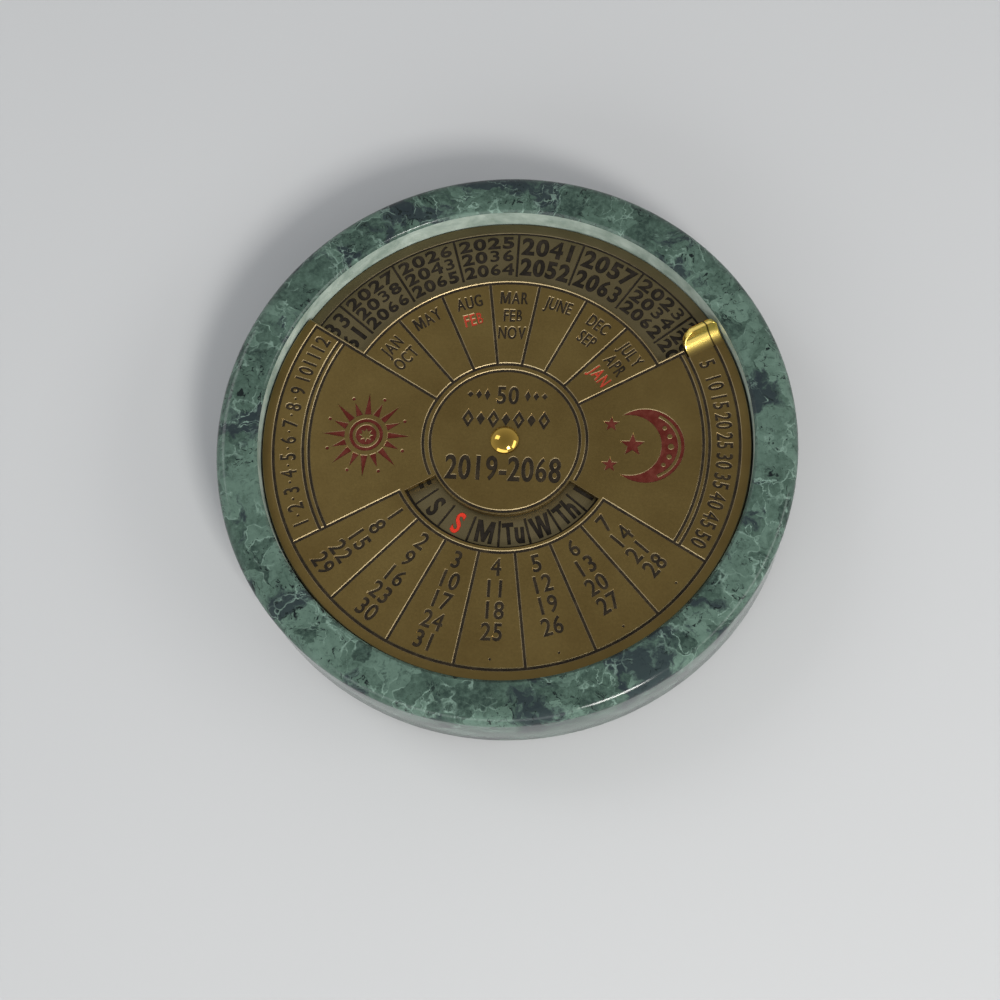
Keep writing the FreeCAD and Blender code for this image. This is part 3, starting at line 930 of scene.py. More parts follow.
def dot(radius: float, angle: float, size: float) -> Outline:
    """Small round mark at a radius and an angle."""
    return circle(size, polar(radius, angle))


def lozenge(centre: Vector, half_width: float, half_height: float) -> Outline:
    """Diamond that lies along the title's lines."""
    corners = ((half_width, 0.0), (0.0, half_height), (-half_width, 0.0), (0.0, -half_height))
    return Outline([centre + Vector(corner) for corner in corners])


@dataclass
class Field:
    """One area of an etched face: what bounds it, what is cut through it and what is etched in it."""

    bounds: list[Outline]
    cuts: list[Outline] = field(default_factory=list)
    black: list[Outline] = field(default_factory=list)
    red: list[Outline] = field(default_factory=list)
    motif: list[Outline] = field(default_factory=list)


@dataclass
class Etching:
    """How a brass face is etched and filled. Above the enamel the etching's sides slope, and their brass is
    lighter there as a painted highlight.
    """

    top: float
    line_slope: float = 0.09
    mark_slope: float = 0.07
    narrow_slope: float = 0.05
    depth: float = 0.15
    fill_below: float = 0.09
    fill_overlap: float = 0.02

    def add_face(self, form: bmesh.types.BMesh, fields: list[Field]) -> None:
        """Adds the raised layer of the face, its slopes with material number 1, the lighter brass of the
        painted highlight.

        Args:
            form: The form that it is added to.
            fields: The areas of the face.
        """
        for area in fields:
            marks = area.black + area.red + area.motif
            outlines = area.bounds + area.cuts + marks
            slopes = [-self.line_slope] * len(area.bounds) + [-self.narrow_slope] * len(area.cuts)
            slopes += [-self.mark_slope] * len(marks)
            level = [0.0] * len(outlines)
            layers = [(self.top - self.depth, level), (self.top - self.fill_below, level), (self.top, slopes)]
            add_solid(form, outlines, layers, 1)

    def fill(self, outlines: list[Outline], name: str) -> bpy.types.Mesh:
        """Enamel within outlines, down to the etching's floor."""
        form = bmesh.new()
        add_plate(form, outlines, self.top - self.depth, self.top - self.fill_below, self.fill_overlap)
        return closed_mesh(form, name)


@dataclass
class StoneBase:
    """Turned marble base with its recess and its felt foot."""

    within: float = 0.0005
    top_round: float = 1.6
    top_steps: int = 14
    foot_chamfer: float = 0.8
    rim_width: float = 5.8
    mouth: float = 0.3
    edge_round: float = 0.12
    pocket_radius: float = 4.5
    pocket_depth: float = 1.8
    steps: int = 240
    felt_round: float = 0.35
    felt_ragged: float = 0.08
    felt_steps: int = 220

    def build(self) -> None:
        """Builds the stone and the felt."""
        self.stone()
        self.felt()

    def stone(self) -> None:
        """Marble disc, polished outside and only ground in its recess."""
        low, high = node_box("marble_base")
        radius = high.x - self.within
        floor = node_box("bond_ring")[0].z
        recess = radius - self.rim_width
        soft = self.edge_round
        profile = [(0.0, low.z), (radius - self.foot_chamfer - soft, low.z)]
        profile += rounded((radius - self.foot_chamfer - soft, low.z + soft), soft, -90.0, -45.0, 2)
        profile += rounded((radius - soft, low.z + self.foot_chamfer + soft), soft, -45.0, 0.0, 2)
        shoulder = (radius - self.top_round, high.z - self.top_round)
        profile += rounded(shoulder, self.top_round, 0.0, 90.0, self.top_steps)
        profile += rounded((recess + self.mouth + soft, high.z - soft), soft, 90.0, 135.0, 3)
        profile += rounded((recess + soft, high.z - self.mouth - soft), soft, 135.0, 180.0, 3)
        pocket = floor - self.pocket_depth
        profile += [(recess, floor), (self.pocket_radius, floor), (self.pocket_radius, pocket), (0.0, pocket)]
        form = spun(profile, self.steps)
        for face in form.faces:
            middle = face.calc_center_median()
            inside = math.hypot(middle.x, middle.y) < recess + TINY and middle.z > low.z + TINY
            face.material_index = 1 if inside else 0
        mesh = finished(form, "stone")
        finishes = [Marble().make(), GroundMarble().make()]
        show("stone", mesh, Body.BASE, finishes, ("marble_base",))

    def felt(self) -> None:
        """Felt disc with a soft, slightly ragged edge."""
        low, high = node_box("felt_pad")
        soft = self.felt_round
        profile = [(0.0, low.z), (high.x - 2.0 * soft, low.z)]
        profile += rounded((high.x - soft, low.z + soft), soft, -90.0, 0.0, 4)
        profile += rounded((high.x - soft, high.z - soft), soft, 0.0, 90.0, 4)
        profile += [(high.x - 2.0 * soft, high.z), (0.0, high.z)]
        form = spun(profile, self.felt_steps)
        for vertex in form.verts:
            reach = math.hypot(vertex.co.x, vertex.co.y)
            if reach > high.x - soft:
                turn = math.atan2(vertex.co.y, vertex.co.x)
                ragged = 0.5 + 0.25 * math.sin(37.0 * turn) + 0.25 * math.sin(61.0 * turn + 1.3)
                vertex.co.xy *= 1.0 - self.felt_ragged * ragged / high.x
        show("felt_foot", finished(form, "felt_foot"), Body.BASE, [Felt().make()], ("felt_pad",))


def year_class(year: int) -> int:
    """Weekday of the year's first day, moved on by one in a leap year, with 0 for Sunday."""
    return (datetime.date(year, 1, 1).isoweekday() + calendar.isleap(year)) % SHOWN


@dataclass
class Dial:
    """Fixed dial with the years in its outer columns and the weekdays in its inner ones."""

    first_year: int = 2019
    last_year: int = 2068
    first_class: int = 3
    first_column: int = -4
    seen: dict[int, tuple[int, ...]] = field(default_factory=lambda: {
        -3: (2023, 2034, 2062), -2: (2057, 2063), -1: (2041, 2052), 0: (2025, 2036, 2064),
        1: (2026, 2043, 2065), 2: (2027, 2038, 2066), 3: (2033, 2061)})
    rim_band: float = 1.55
    year_depth: float = 6.6
    year_span: float = 14.6
    three_rows: tuple[float, ...] = (30.15, 28.12, 26.0)
    three_height: float = 1.62
    three_bold: float = 0.09
    two_rows: tuple[float, ...] = (29.62, 26.45)
    two_height: float = 2.4
    two_bold: float = 0.12
    year_gap: float = 0.20
    weekdays: tuple[str, ...] = ("S", "M", "Tu", "W", "Th", "F", "S")
    weekday_inner: float = 11.0
    weekday_depth: float = 3.8
    weekday_height: float = 2.8
    weekday_shift: int = 2
    weekday_drop: float = 0.1
    weekday_gap: float = 0.21
    weekday_bold: float = 0.09
    letter_stretch: float = 0.64
    pair_stretch: float = 0.55
    bore: float = 1.2
    edge: float = 0.08

    def __post_init__(self) -> None:
        """Works out how the dial is etched."""
        self.etching = Etching(node_box("dial_plate")[1].z, line_slope=0.06, mark_slope=0.04)
        self.half = LINE_HALF

    def build(self) -> None:
        """Builds the dial's brass and its enamel."""
        low, high = node_box("dial_plate")
        etching = self.etching
        case = TypeCase()
        rim = high.x
        ring = rim - self.rim_band
        week_ring = self.weekday_inner + self.weekday_depth
        week_edge = self.slotted(week_ring - self.half, self.weekday_inner, BOTTOM)
        middle = Field([week_edge], [circle(self.bore)])
        year_edge = self.slotted(ring - self.half, ring - self.year_depth, TOP)
        years = Field([year_edge, circle(week_ring + self.half)])
        edge = Field([circle(rim), circle(ring + self.half)])
        for column in range(COLUMNS):
            label = (column + self.weekday_shift) % SHOWN
            stretch = self.pair_stretch if len(self.weekdays[label]) > 1 else self.letter_stretch
            radius = self.weekday_inner + self.weekday_depth / 2.0 - self.weekday_drop
            word = Word(self.weekdays[label], radius, BOTTOM + (column + 0.5) * PITCH, self.weekday_height,
                        Facing.INWARD, stretch=stretch, gap=self.weekday_gap, bold=self.weekday_bold)
            (middle.black if label else middle.red).extend(word.outlines(case))
        for word in self.year_words():
            years.black.extend(word.outlines(case))
        form = bmesh.new()
        add_plate(form, [circle(rim), circle(self.bore)], low.z, high.z - etching.depth, 0.0, self.edge)
        etching.add_face(form, [middle, years, edge])
        mesh = closed_mesh(form, "dial_face")
        dull = Brass("dial brass", (0.156, 0.127, 0.068), (0.122, 0.098, 0.050), 0.50,
                     grain=3.5, relief=0.006)
        # The etching's slopes get a lighter brass: a painted highlight, a pale edge beside each line.
        bright = Brass("dial edge painted highlight", (0.230, 0.190, 0.112), (0.170, 0.138, 0.080), 0.42)
        show("dial_face", mesh, Body.BASE, [dull.make(), bright.make()], ("dial_plate",))
        black = edge.bounds[1:] + years.bounds + years.black + middle.bounds + middle.black
        ink = Enamel("black enamel", (0.012, 0.010, 0.008), (0.030, 0.024, 0.018))
        show("dial_enamel", etching.fill(black, "dial_enamel"), Body.BASE, [ink.make()],
             ("dial_line_enamel",))
        red = Enamel("bright red enamel", (0.520, 0.035, 0.018), (0.380, 0.030, 0.016))
        show("dial_red_letters", etching.fill(middle.red, "dial_red_letters"), Body.BASE,
             [red.make()])

    def slotted(self, outer: float, inner: float, start: float) -> Outline:
        """Round outline with a slot going in at each column's line.

        Args:
            outer: Radius of the outline.
            inner: Radius that the slots reach in to.
            start: Angle of the first slot.

        Returns:
            The outline.
        """
        shape = Outline()
        for column in range(COLUMNS):
            angle = start + column * PITCH
            shape.corner(polar(inner, angle - off(self.half, inner)))
            shape.corner(polar(inner, angle + off(self.half, inner)))
            shape.arc(outer, angle + off(self.half, outer), angle + PITCH - off(self.half, outer))
        return shape

    def columns(self) -> dict[int, tuple[int, ...]]:
        """Years in each column: those that the cover shows at rest, and the rest of each class dealt out."""
        dealt = dict(self.seen)
        for kind in range(SHOWN):
            own = [year for year in range(self.first_year, self.last_year + 1) if year_class(year) == kind]
            left = [year for year in own if not any(year in years for years in self.seen.values())]
            free = [column for column in range(self.first_column, COLUMNS + self.first_column)
                    if column not in self.seen and (column + self.first_class) % SHOWN == kind]
            for place, column in enumerate(free):
                dealt[column] = tuple(left[place::len(free)])
        return dealt

    def year_words(self) -> list[Word]:
        """Years set in two or three rows in their columns."""
        words = []
        for column, years in self.columns().items():
            angle = TOP + (column + 0.5) * PITCH
            three = len(years) > len(self.two_rows)
            rows = self.three_rows if three else self.two_rows
            height = self.three_height if three else self.two_height
            bold = self.three_bold if three else self.two_bold
            for year, radius in zip(years, rows):
                width = math.radians(self.year_span) * radius
                words.append(Word(str(year), radius, angle, height, width=width, curved=True,
                                  gap=self.year_gap, bold=bold))
        return words


@dataclass(frozen=True)
class Motifs:
    """Sun, and moon with stars, that fill the two side panels."""

    reach: float = 6.0
    disc: float = 2.28
    rings: tuple[float, float] = (1.85, 1.40)
    heart: float = 1.02
    heart_points: int = 8
    heart_waist: float = 0.55
    ray_start: float = 3.0
    ray_half: float = 0.42
    short_ray: float = 4.92
    rays: int = 16
    dot_size: float = 0.2
    dot_inset: float = 0.45
    moon_radius: float = 5.22
    bite: float = 4.32
    bite_shift: float = -2.1
    line_outer: float = 4.80
    line_inner: float = 4.36
    line_end: float = 68.0
    moon_dots: tuple[tuple[float, float], ...] = (
        (0.0, 0.42), (24.0, 0.36), (-24.0, 0.36), (46.0, 0.3), (-46.0, 0.3))
    dots_radius: float = 3.45
    dots_drift: float = 0.004
    stars: tuple[tuple[float, float, float], ...] = (
        (-1.68, 0.0, 1.62), (-4.62, 2.88, 1.05), (-4.62, -2.88, 1.05))
    points: int = 5
    waist: float = 0.42

    def sun(self, centre: Vector) -> list[Outline]:
        """Outlines of the sun.

        Args:
            centre: Its centre in plan.

        Returns:
            The outlines.
        """
        made = [circle(radius, centre) for radius in (self.disc, *self.rings)]
        made.append(self.star(centre, self.heart, self.heart_points, self.heart_waist))
        for ray in range(self.rays):
            turn = ray * FULL_TURN / self.rays
            half = math.degrees(self.ray_half / self.ray_start)
            tip = self.short_ray if ray % 2 else self.reach
            corners = ((self.ray_start, turn - half), (tip, turn), (self.ray_start, turn + half))
            made.append(Outline([centre + polar(*corner) for corner in corners]))
            if ray % 2:
                made.append(circle(self.dot_size, centre + polar(self.reach - self.dot_inset, turn)))
        return made

    def moon_edge(self, centre: Vector) -> Outline:
        """Outline of the moon's sickle."""
        meet = (self.bite ** 2 - self.moon_radius ** 2 - self.bite_shift ** 2) / (-2.0 * self.bite_shift)
        outer = math.degrees(math.acos(meet / self.moon_radius))
        inner = math.degrees(math.acos((meet - self.bite_shift) / self.bite))
        sickle = Outline().arc(self.moon_radius, -outer, outer, centre)
        return sickle.arc(self.bite, inner, -inner, centre + Vector((self.bite_shift, 0.0))).closed()

    def moon(self, centre: Vector) -> list[Outline]:
        """Outlines of the moon and its stars.

        Args:
            centre: The moon's centre in plan.

        Returns:
            The outlines.
        """
        made = [self.moon_edge(centre)]
        line = Outline().arc(self.line_outer, -self.line_end, self.line_end, centre)
        made.append(line.arc(self.line_inner, self.line_end, -self.line_end, centre).closed())
        for turn, size in self.moon_dots:
            made.append(circle(size, centre + polar(self.dots_radius + abs(turn) * self.dots_drift, turn)))
        for across, up, size in self.stars:
            made.append(self.star(centre + Vector((across, up)), size, self.points, self.waist))
        return made

    def star(self, centre: Vector, size: float, points: int, waist: float) -> Outline:
        """Star with one point up.

        Args:
            centre: Its centre.
            size: Radius of its points.
            points: Number of its points.
            waist: Radius of its inner corners as a share of its size.

        Returns:
            The outline.
        """
        corners = []
        for step in range(2 * points):
            radius = size * waist if step % 2 else size
            corners.append(centre + polar(radius, TOP + step * FULL_TURN / (2 * points)))
        return Outline(corners)


@dataclass(frozen=True)
class Title:
    """Marks in the round middle of the cover: a count of years, rows of lozenges and the span of years."""

    count_radius: float = 6.5
    count_height: float = 2.4
    count_stretch: float = 0.82
    count_bold: float = 0.05
    side_marks: int = 3
    side_start: float = 2.75
    side_step: float = 1.15
    side_width: float = 0.38
    side_height: float = 0.78
    side_fall: float = 0.18
    row_reach: int = 3
    row_step: float = 1.72
    row_height: float = 3.0
    wide: tuple[float, float] = (0.78, 1.30)
    slim: tuple[float, float] = (0.56, 0.90)
    hollow: tuple[float, float] = (0.40, 0.66)
    span_radius: float = 4.05
    span_height: float = 3.25
    span_width: float = 15.4
    span_gap: float = 0.16
    span_bold: float = 0.08

    def marks(self, case: TypeCase) -> list[Outline]:
        """Outlines of the marks.

        Args:
            case: The characters.

        Returns:
            The outlines in plan.
        """
        count = str(Dial.last_year - Dial.first_year + 1)
        made = Word(count, self.count_radius, TOP, self.count_height, stretch=self.count_stretch,
                    bold=self.count_bold).outlines(case)
        for side in (-1.0, 1.0):
            for step in range(self.side_marks):
                middle = Vector((side * (self.side_start + self.side_step * step), self.count_radius))
                made.append(lozenge(middle, self.side_width, self.side_height - self.side_fall * step))
        for step in range(-self.row_reach, self.row_reach + 1):
            middle = Vector((self.row_step * step, self.row_height))
            made.append(lozenge(middle, *(self.wide if step % 2 else self.slim)))
            if step % 2:
                made.append(lozenge(middle, *self.hollow))
        span = f"{Dial.first_year}-{Dial.last_year}"
        made += Word(span, self.span_radius, BOTTOM, self.span_height, Facing.INWARD, width=self.span_width,
                     gap=self.span_gap, bold=self.span_bold).outlines(case)
        return made


@dataclass
class Cover:
    """Turning cover with the months, the dates, the title and two motifs, and its finger tab."""

    thickness: float = 1.0
    line_spread: float = 0.045
    bore: float = 1.25
    notch_depth: float = 9.2
    land: float = 0.42
    window_inner: float = 10.5
    window_width: float = 4.6
    window_end: float = 0.7
    title_gap: float = 0.4
    ring_gap: float = 0.57
    ring_end: float = 1.5
    rim_band: float = 1.45
    text_band: float = 4.05
    twin_gap: float = 0.8
    date_gap: float = 0.64
    tab_width: float = 5.3
    slit: float = 0.2
    bend_setback: float = 1.4
    edge: float = 0.06
    enamel_lap: float = 0.05
    months: tuple[tuple[str, ...], ...] = (
        ("JAN", "OCT"), ("MAY",), ("AUG", "*FEB"), ("MAR", "FEB", "NOV"), ("JUNE",), ("DEC", "SEP"),
        ("JULY", "APR", "*JAN"))
    month_rows: tuple[float, ...] = (21.0, 18.35, 15.75)
    month_height: float = 1.72
    month_stretch: float = 0.63
    month_gap: float = 0.25
    date_rows: tuple[float, ...] = (17.75, 20.65, 23.55, 26.45, 29.3)
    date_height: float = 2.25
    date_stretch: float = 0.84
    date_letter_gap: float = 0.16
    date_bold: float = 0.04
    days: int = 31
    dot_radius: float = 30.1
    dot_size: float = 0.14
    band_height: float = 2.05
    band_stretch: float = 0.72
    left_count: int = 12
    left_start: float = 0.8
    left_step: float = 4.74
    left_dots: int = 8
    right_count: int = 10
    right_unit: int = 5
    right_start: float = 5.6
    right_step: float = 5.55

    def __post_init__(self) -> None:
        """Works out the radii and heights that follow from the sizes and the frame."""
        low, high = node_box("cover_plate")
        self.foot = low.z
        self.top = low.z + self.thickness
        self.rim = high.x
        self.etching = Etching(self.top)
        self.half = LINE_HALF + self.line_spread
        self.notch = self.rim - self.notch_depth
        self.month_line = self.notch - self.land
        self.window_outer = self.window_inner + self.window_width
        self.title_ring = self.window_inner - self.title_gap
        self.panel_ring = self.window_inner + self.ring_gap
        self.outer_line = self.rim - self.rim_band
        self.band_line = self.outer_line - self.text_band
        self.twin_line = self.band_line - self.twin_gap
        self.date_line = self.window_outer + self.date_gap
        self.tab_inner = self.rim - self.tab_width
        self.tab_start = self.land - self.bend_setback
        self.tab_joint = self.tab_start + self.etching.line_slope
        self.case = TypeCase()

    def build(self) -> None:
        """Builds the cover's brass and its enamel."""
        fields = self.fields()
        form = bmesh.new()
        floor = self.top - self.etching.depth
        edges = [self.plate_edge(), self.window(), circle(self.bore)]
        add_plate(form, edges, self.foot, floor, 0.0, self.edge)
        self.etching.add_face(form, fields)
        mesh = closed_mesh(form, "cover_face")
        face = Brass("cover brass", (0.204, 0.143, 0.049), (0.157, 0.106, 0.035), 0.38)
        # The etching's slopes get a lighter brass: a painted highlight, a pale edge beside each line.
        bright = Brass("cover edge painted highlight", (0.400, 0.320, 0.180), (0.290, 0.220, 0.115), 0.42)
        show("cover_face", mesh, Body.COVER, [face.make(), bright.make()], ("cover_plate",))
        ink = Enamel("cover black enamel", (0.014, 0.011, 0.008), (0.036, 0.027, 0.016))
        black = [self.enamel_edge()]
        for area in fields[1:]:
            black += area.bounds + area.black
        show("cover_enamel", self.etching.fill(black, "cover_enamel"), Body.COVER,
             [ink.make()], ("cover_line_enamel",))
        maroon = Enamel("dark red enamel", (0.062, 0.010, 0.007), (0.105, 0.028, 0.020))
        motifs = self.etching.fill(fields[2].motif, "motif_enamel")
        show("motif_enamel", motifs, Body.COVER, [maroon.make()], ("sun_enamel", "moon_enamel"))
        red = [outline for area in fields for outline in area.red]
        bright_red = Enamel("red enamel", (0.310, 0.035, 0.018), (0.210, 0.038, 0.020))
        show("cover_red_letters", self.etching.fill(red, "cover_red_letters"), Body.COVER,
             [bright_red.make()])

    def window(self) -> Outline:
        """Edge of the window over the weekdays."""
        start = DATES_START + self.window_end
        end = DATES_END - self.window_end
        return sector(self.window_inner, self.window_outer, start, end, 0.0, 0.0)

    def tab_frame(self, along: float, side: float) -> Vector:
        """Point near the tab, by its distance along the notch's right end and its distance from that line."""
        turn = math.radians(RIGHT_END)
        spoke = Vector((math.cos(turn), math.sin(turn)))
        return spoke * along + Vector((-spoke.y, spoke.x)) * side

    def notch_edge(self, shape: Outline) -> Outline:
        """Takes an outline back along the notch to its start."""
        gap = off(self.land, self.notch)
        return shape.arc(self.notch, RIGHT_END + gap, LEFT_END - gap).closed()

    def plate_edge(self) -> Outline:
        """Edge of the cover without its tab."""
        land = self.land
        slit = self.tab_inner - self.slit
        tab = FULL_TURN + RIGHT_END + off(self.tab_start, self.rim)
        edge = Outline().arc(self.rim, LEFT_END - off(land, self.rim), tab)
        edge.corner(self.tab_frame(slit, self.tab_start))
        edge.corner(self.tab_frame(slit, land))
        return self.notch_edge(edge)

    def border(self) -> Outline:
        """Rim band and the land along the notch, as one area."""
        land = self.land
        slit = self.tab_inner - self.slit
        band = self.outer_line + self.half
        month = self.month_line + self.half
        tab = self.tab_joint
        shape = Outline()
        shape.arc(self.rim, LEFT_END - off(land, self.rim), FULL_TURN + RIGHT_END + off(tab, self.rim))
        shape.arc(band, FULL_TURN + RIGHT_END + off(tab, band), LEFT_END - off(self.half, band))
        shape.arc(month, LEFT_END - off(self.half, month), RIGHT_END + off(self.half, month))
        shape.corner(self.tab_frame(slit, self.half))
        shape.corner(self.tab_frame(slit, land))
        return self.notch_edge(shape)

    def enamel_edge(self) -> Outline:
        """Outer edge of the area that holds all the black enamel."""
        slit = self.tab_inner - self.slit - self.enamel_lap
        band = self.outer_line + self.half
        month = self.month_line + self.half
        tab = self.tab_joint + self.enamel_lap
        shape = Outline()
        shape.arc(band, LEFT_END - off(self.half, band), FULL_TURN + RIGHT_END + off(tab, band))
        shape.corner(self.tab_frame(slit, tab))
        shape.corner(self.tab_frame(slit, self.half))
        shape.arc(month, RIGHT_END + off(self.half, month), LEFT_END - off(self.half, month))
        return shape.closed()

    def panels(self) -> Outline:
        """Both motif panels with the rings about the title and the window, as one area."""
        half = self.half
        ring_in = self.panel_ring - half
        ring_out = self.panel_ring + half
        twin = self.twin_line - half
        date = self.date_line - half
        ring_start = DATES_END + self.ring_end
        ring_end = DATES_START - self.ring_end
        right = FULL_TURN + RIGHT_END
        shape = Outline()
        shape.arc(ring_in, ring_start - FULL_TURN, ring_end)
        shape.arc(ring_out, ring_end, LEFT_END + off(half, ring_out))
        shape.arc(twin, LEFT_END + off(half, twin), DATES_START - off(half, twin))
        shape.arc(date, DATES_START - off(half, date), DATES_END + off(half, date))
        shape.arc(twin, DATES_END + off(half, twin), right - off(half, twin))
        shape.arc(ring_out, right - off(half, ring_out), ring_start)
        return shape.closed()

    def fields(self) -> list[Field]:
        """All areas of the cover's face, the border first."""
        half = self.half
        twin = self.twin_line + half, self.band_line - half
        text = self.band_line + half, self.outer_line - half
        tab = -self.tab_joint
        right = FULL_TURN + RIGHT_END
        found = [Field([self.border()]), self.title(), self.motif_field()]
        found.append(Field([sector(*twin, LEFT_END, DATES_START, half, half)]))
        found.append(Field([sector(*twin, DATES_END, right, half, half)]))
        found.append(Field([sector(*text, LEFT_END, DATES_START, half, half)], black=self.left_scale()))
        found.append(Field([sector(*text, DATES_END, right, half, tab)], black=self.right_scale()))
        for column in range(SHOWN):
            found.append(self.month_field(column))
            found.append(self.date_field(column))
        return found

    def title(self) -> Field:
        """Round area in the middle with the span of years."""
        return Field([circle(self.title_ring - self.half)], [circle(self.bore)], Title().marks(self.case))

    def motif_field(self) -> Field:
        """Area of the two motif panels."""
        low, high = node_box("sun_enamel")
        centre = ((low + high) / 2.0).to_2d()
        motifs = Motifs()
        ring = circle(self.title_ring + self.half)
        return Field([self.panels(), ring], [self.window()], motif=motifs.sun(centre) + motifs.moon(-centre))

    def left_scale(self) -> list[Outline]:
        """Numbers of the months round the left band."""
        middle = (self.band_line + self.outer_line) / 2.0
        marks = []
        for number in range(1, self.left_count + 1):
            angle = DATES_START + self.left_start - number * self.left_step
            word = Word(str(number), middle, angle, self.band_height, stretch=self.band_stretch, curved=True)
            marks += word.outlines(self.case)
            if number <= self.left_dots:
                marks.append(dot(middle, angle - self.left_step / 2.0, self.dot_size))
        return marks

    def right_scale(self) -> list[Outline]:
        """Count of the years round the right band."""
        middle = (self.band_line + self.outer_line) / 2.0
        marks = []
        for step in range(self.right_count):
            angle = RIGHT_END - self.right_start - step * self.right_step
            number = str(self.right_unit * (step + 1))
            word = Word(number, middle, angle, self.band_height, stretch=self.band_stretch, curved=True)
            marks += word.outlines(self.case)
        return marks

    def month_field(self, column: int) -> Field:
        """Area of one month column, counted from the left."""
        end = LEFT_END - column * PITCH
        half = self.half
        edge = sector(self.panel_ring + half, self.month_line - half, end - PITCH, end, half, half)
        area = Field([edge])
        for name, radius in zip(self.months[column], self.month_rows):
            marks = area.red if name.startswith("*") else area.black
            word = Word(name.strip("*"), radius, end - PITCH / 2.0, self.month_height,
                        stretch=self.month_stretch, gap=self.month_gap)
            marks += word.outlines(self.case)
        return area

    def date_field(self, column: int) -> Field:
        """Area of one date column, counted from the left."""
        start = DATES_START + column * PITCH
        middle = start + PITCH / 2.0
        half = self.half
        edge = sector(self.date_line + half, self.outer_line - half, start, start + PITCH, half, half)
        area = Field([edge])
        for row, radius in enumerate(self.date_rows):
            day = 1 + column + row * SHOWN
            if day <= self.days:
                word = Word(str(day), radius, middle, self.date_height, Facing.INWARD,
                            stretch=self.date_stretch, gap=self.date_letter_gap, bold=self.date_bold)
                area.black += word.outlines(self.case)
            else:
                area.black.append(dot(self.dot_radius, middle, self.dot_size))
        return area


@dataclass
class FingerTab:
    """Finger tab, bent up at the right end of the cover's notch."""

    cover: Cover
    bend_radius: float = 2.4
    bend_angle: float = 60.0
    flat: float = 0.8
    inner_corner: float = 2.2
    outer_corner: float = 0.8
    edge: float = 0.12
    edge_steps: int = 3
    least_corner: float = 50.0
    rows: int = 30
    columns: int = 24

    def __post_init__(self) -> None:
        """Works out the length of the bend and of the whole tab."""
        self.bend_length = math.radians(self.bend_angle) * self.bend_radius
        self.length = self.bend_length + self.flat

    def build(self) -> None:
        """Builds the tab as a bent sheet with softened edges."""
        form = bmesh.new()
        layers = [self.layer(form, depth) for depth in (0.0, self.cover.thickness)]
        for rows, flip in zip(layers, (False, True)):
            for first, second in zip(rows, rows[1:]):
                for column in range(self.columns):
                    corners = [first[column], first[column + 1], second[column + 1], second[column]]
                    form.faces.new(corners[::-1] if flip else corners)
        loops = [self.border(rows) for rows in layers]
        count = len(loops[0])
        for step in range(count):
            after = (step + 1) % count
            form.faces.new((loops[0][step], loops[0][after], loops[1][after], loops[1][step]))
        bmesh.ops.recalc_face_normals(form, faces=form.faces)
        root = self.cover.tab_start
        edges = [edge for edge in form.edges if edge.calc_face_angle(0.0) > math.radians(self.least_corner)
                 and min(self.side(vertex.co) for vertex in edge.verts) > root + TINY]
        bmesh.ops.bevel(form, geom=edges, offset=self.edge, segments=self.edge_steps, affect="EDGES",
                        profile=0.5, material=-1)
        shown = TabBrass(self.cover.top, self.cover.outer_line)
        mesh = finished(form, "finger_tab", BENT_SHARP)
        show("finger_tab", mesh, Body.COVER, [shown.make()])

    def side(self, point: Vector) -> float:
        """Distance of a point from the line of the notch's right end."""
        turn = math.radians(RIGHT_END)
        return point.to_2d().dot(Vector((-math.sin(turn), math.cos(turn))))

    def layer(self, form: bmesh.types.BMesh, depth: float) -> list[list[bmesh.types.BMVert]]:
        """Rows of points across the tab, at a depth under its upper face."""
        rows = []
        for row in range(self.rows + 1):
            along = self.length * math.sin(math.pi / 2.0 * row / self.rows)
            start = self.cover.tab_inner + self.corner(self.inner_corner, along)
            end = self.cover.rim - self.corner(self.outer_corner, along)
            steps = [start + (end - start) * column / self.columns for column in range(self.columns + 1)]
            rows.append([form.verts.new(self.point(along, reach, depth)) for reach in steps])
        return rows

    def corner(self, radius: float, along: float) -> float:
        """How far a rounded corner draws the side in, at a length along the tab."""
        past = max(0.0, along - self.length + radius)
        return radius - math.sqrt(max(0.0, radius ** 2 - past ** 2))

    def point(self, along: float, reach: float, depth: float) -> Vector:
        """Point of the tab.

        Args:
            along: Length along the upper face from the start of the bend.
            reach: Distance from the pivot along the notch's right end.
            depth: Depth under the upper face.

        Returns:
            The point.
        """
        bend = min(along, self.bend_length) / self.bend_radius
        past = max(0.0, along - self.bend_length)
        outer = self.bend_radius + depth
        side = self.cover.tab_start + outer * math.sin(bend) + past * math.cos(bend)
        height = self.cover.top + self.bend_radius - outer * math.cos(bend) + past * math.sin(bend)
        plan = self.cover.tab_frame(reach, side)
        return Vector((plan.x, plan.y, height))

    def border(self, rows: list[list[bmesh.types.BMVert]]) -> list[bmesh.types.BMVert]:
        """Points round the edge of a layer, in order."""
        down = [row[-1] for row in rows[1:-1]]
        back = [row[0] for row in reversed(rows[1:-1])]
        return rows[0] + down + rows[-1][::-1] + back


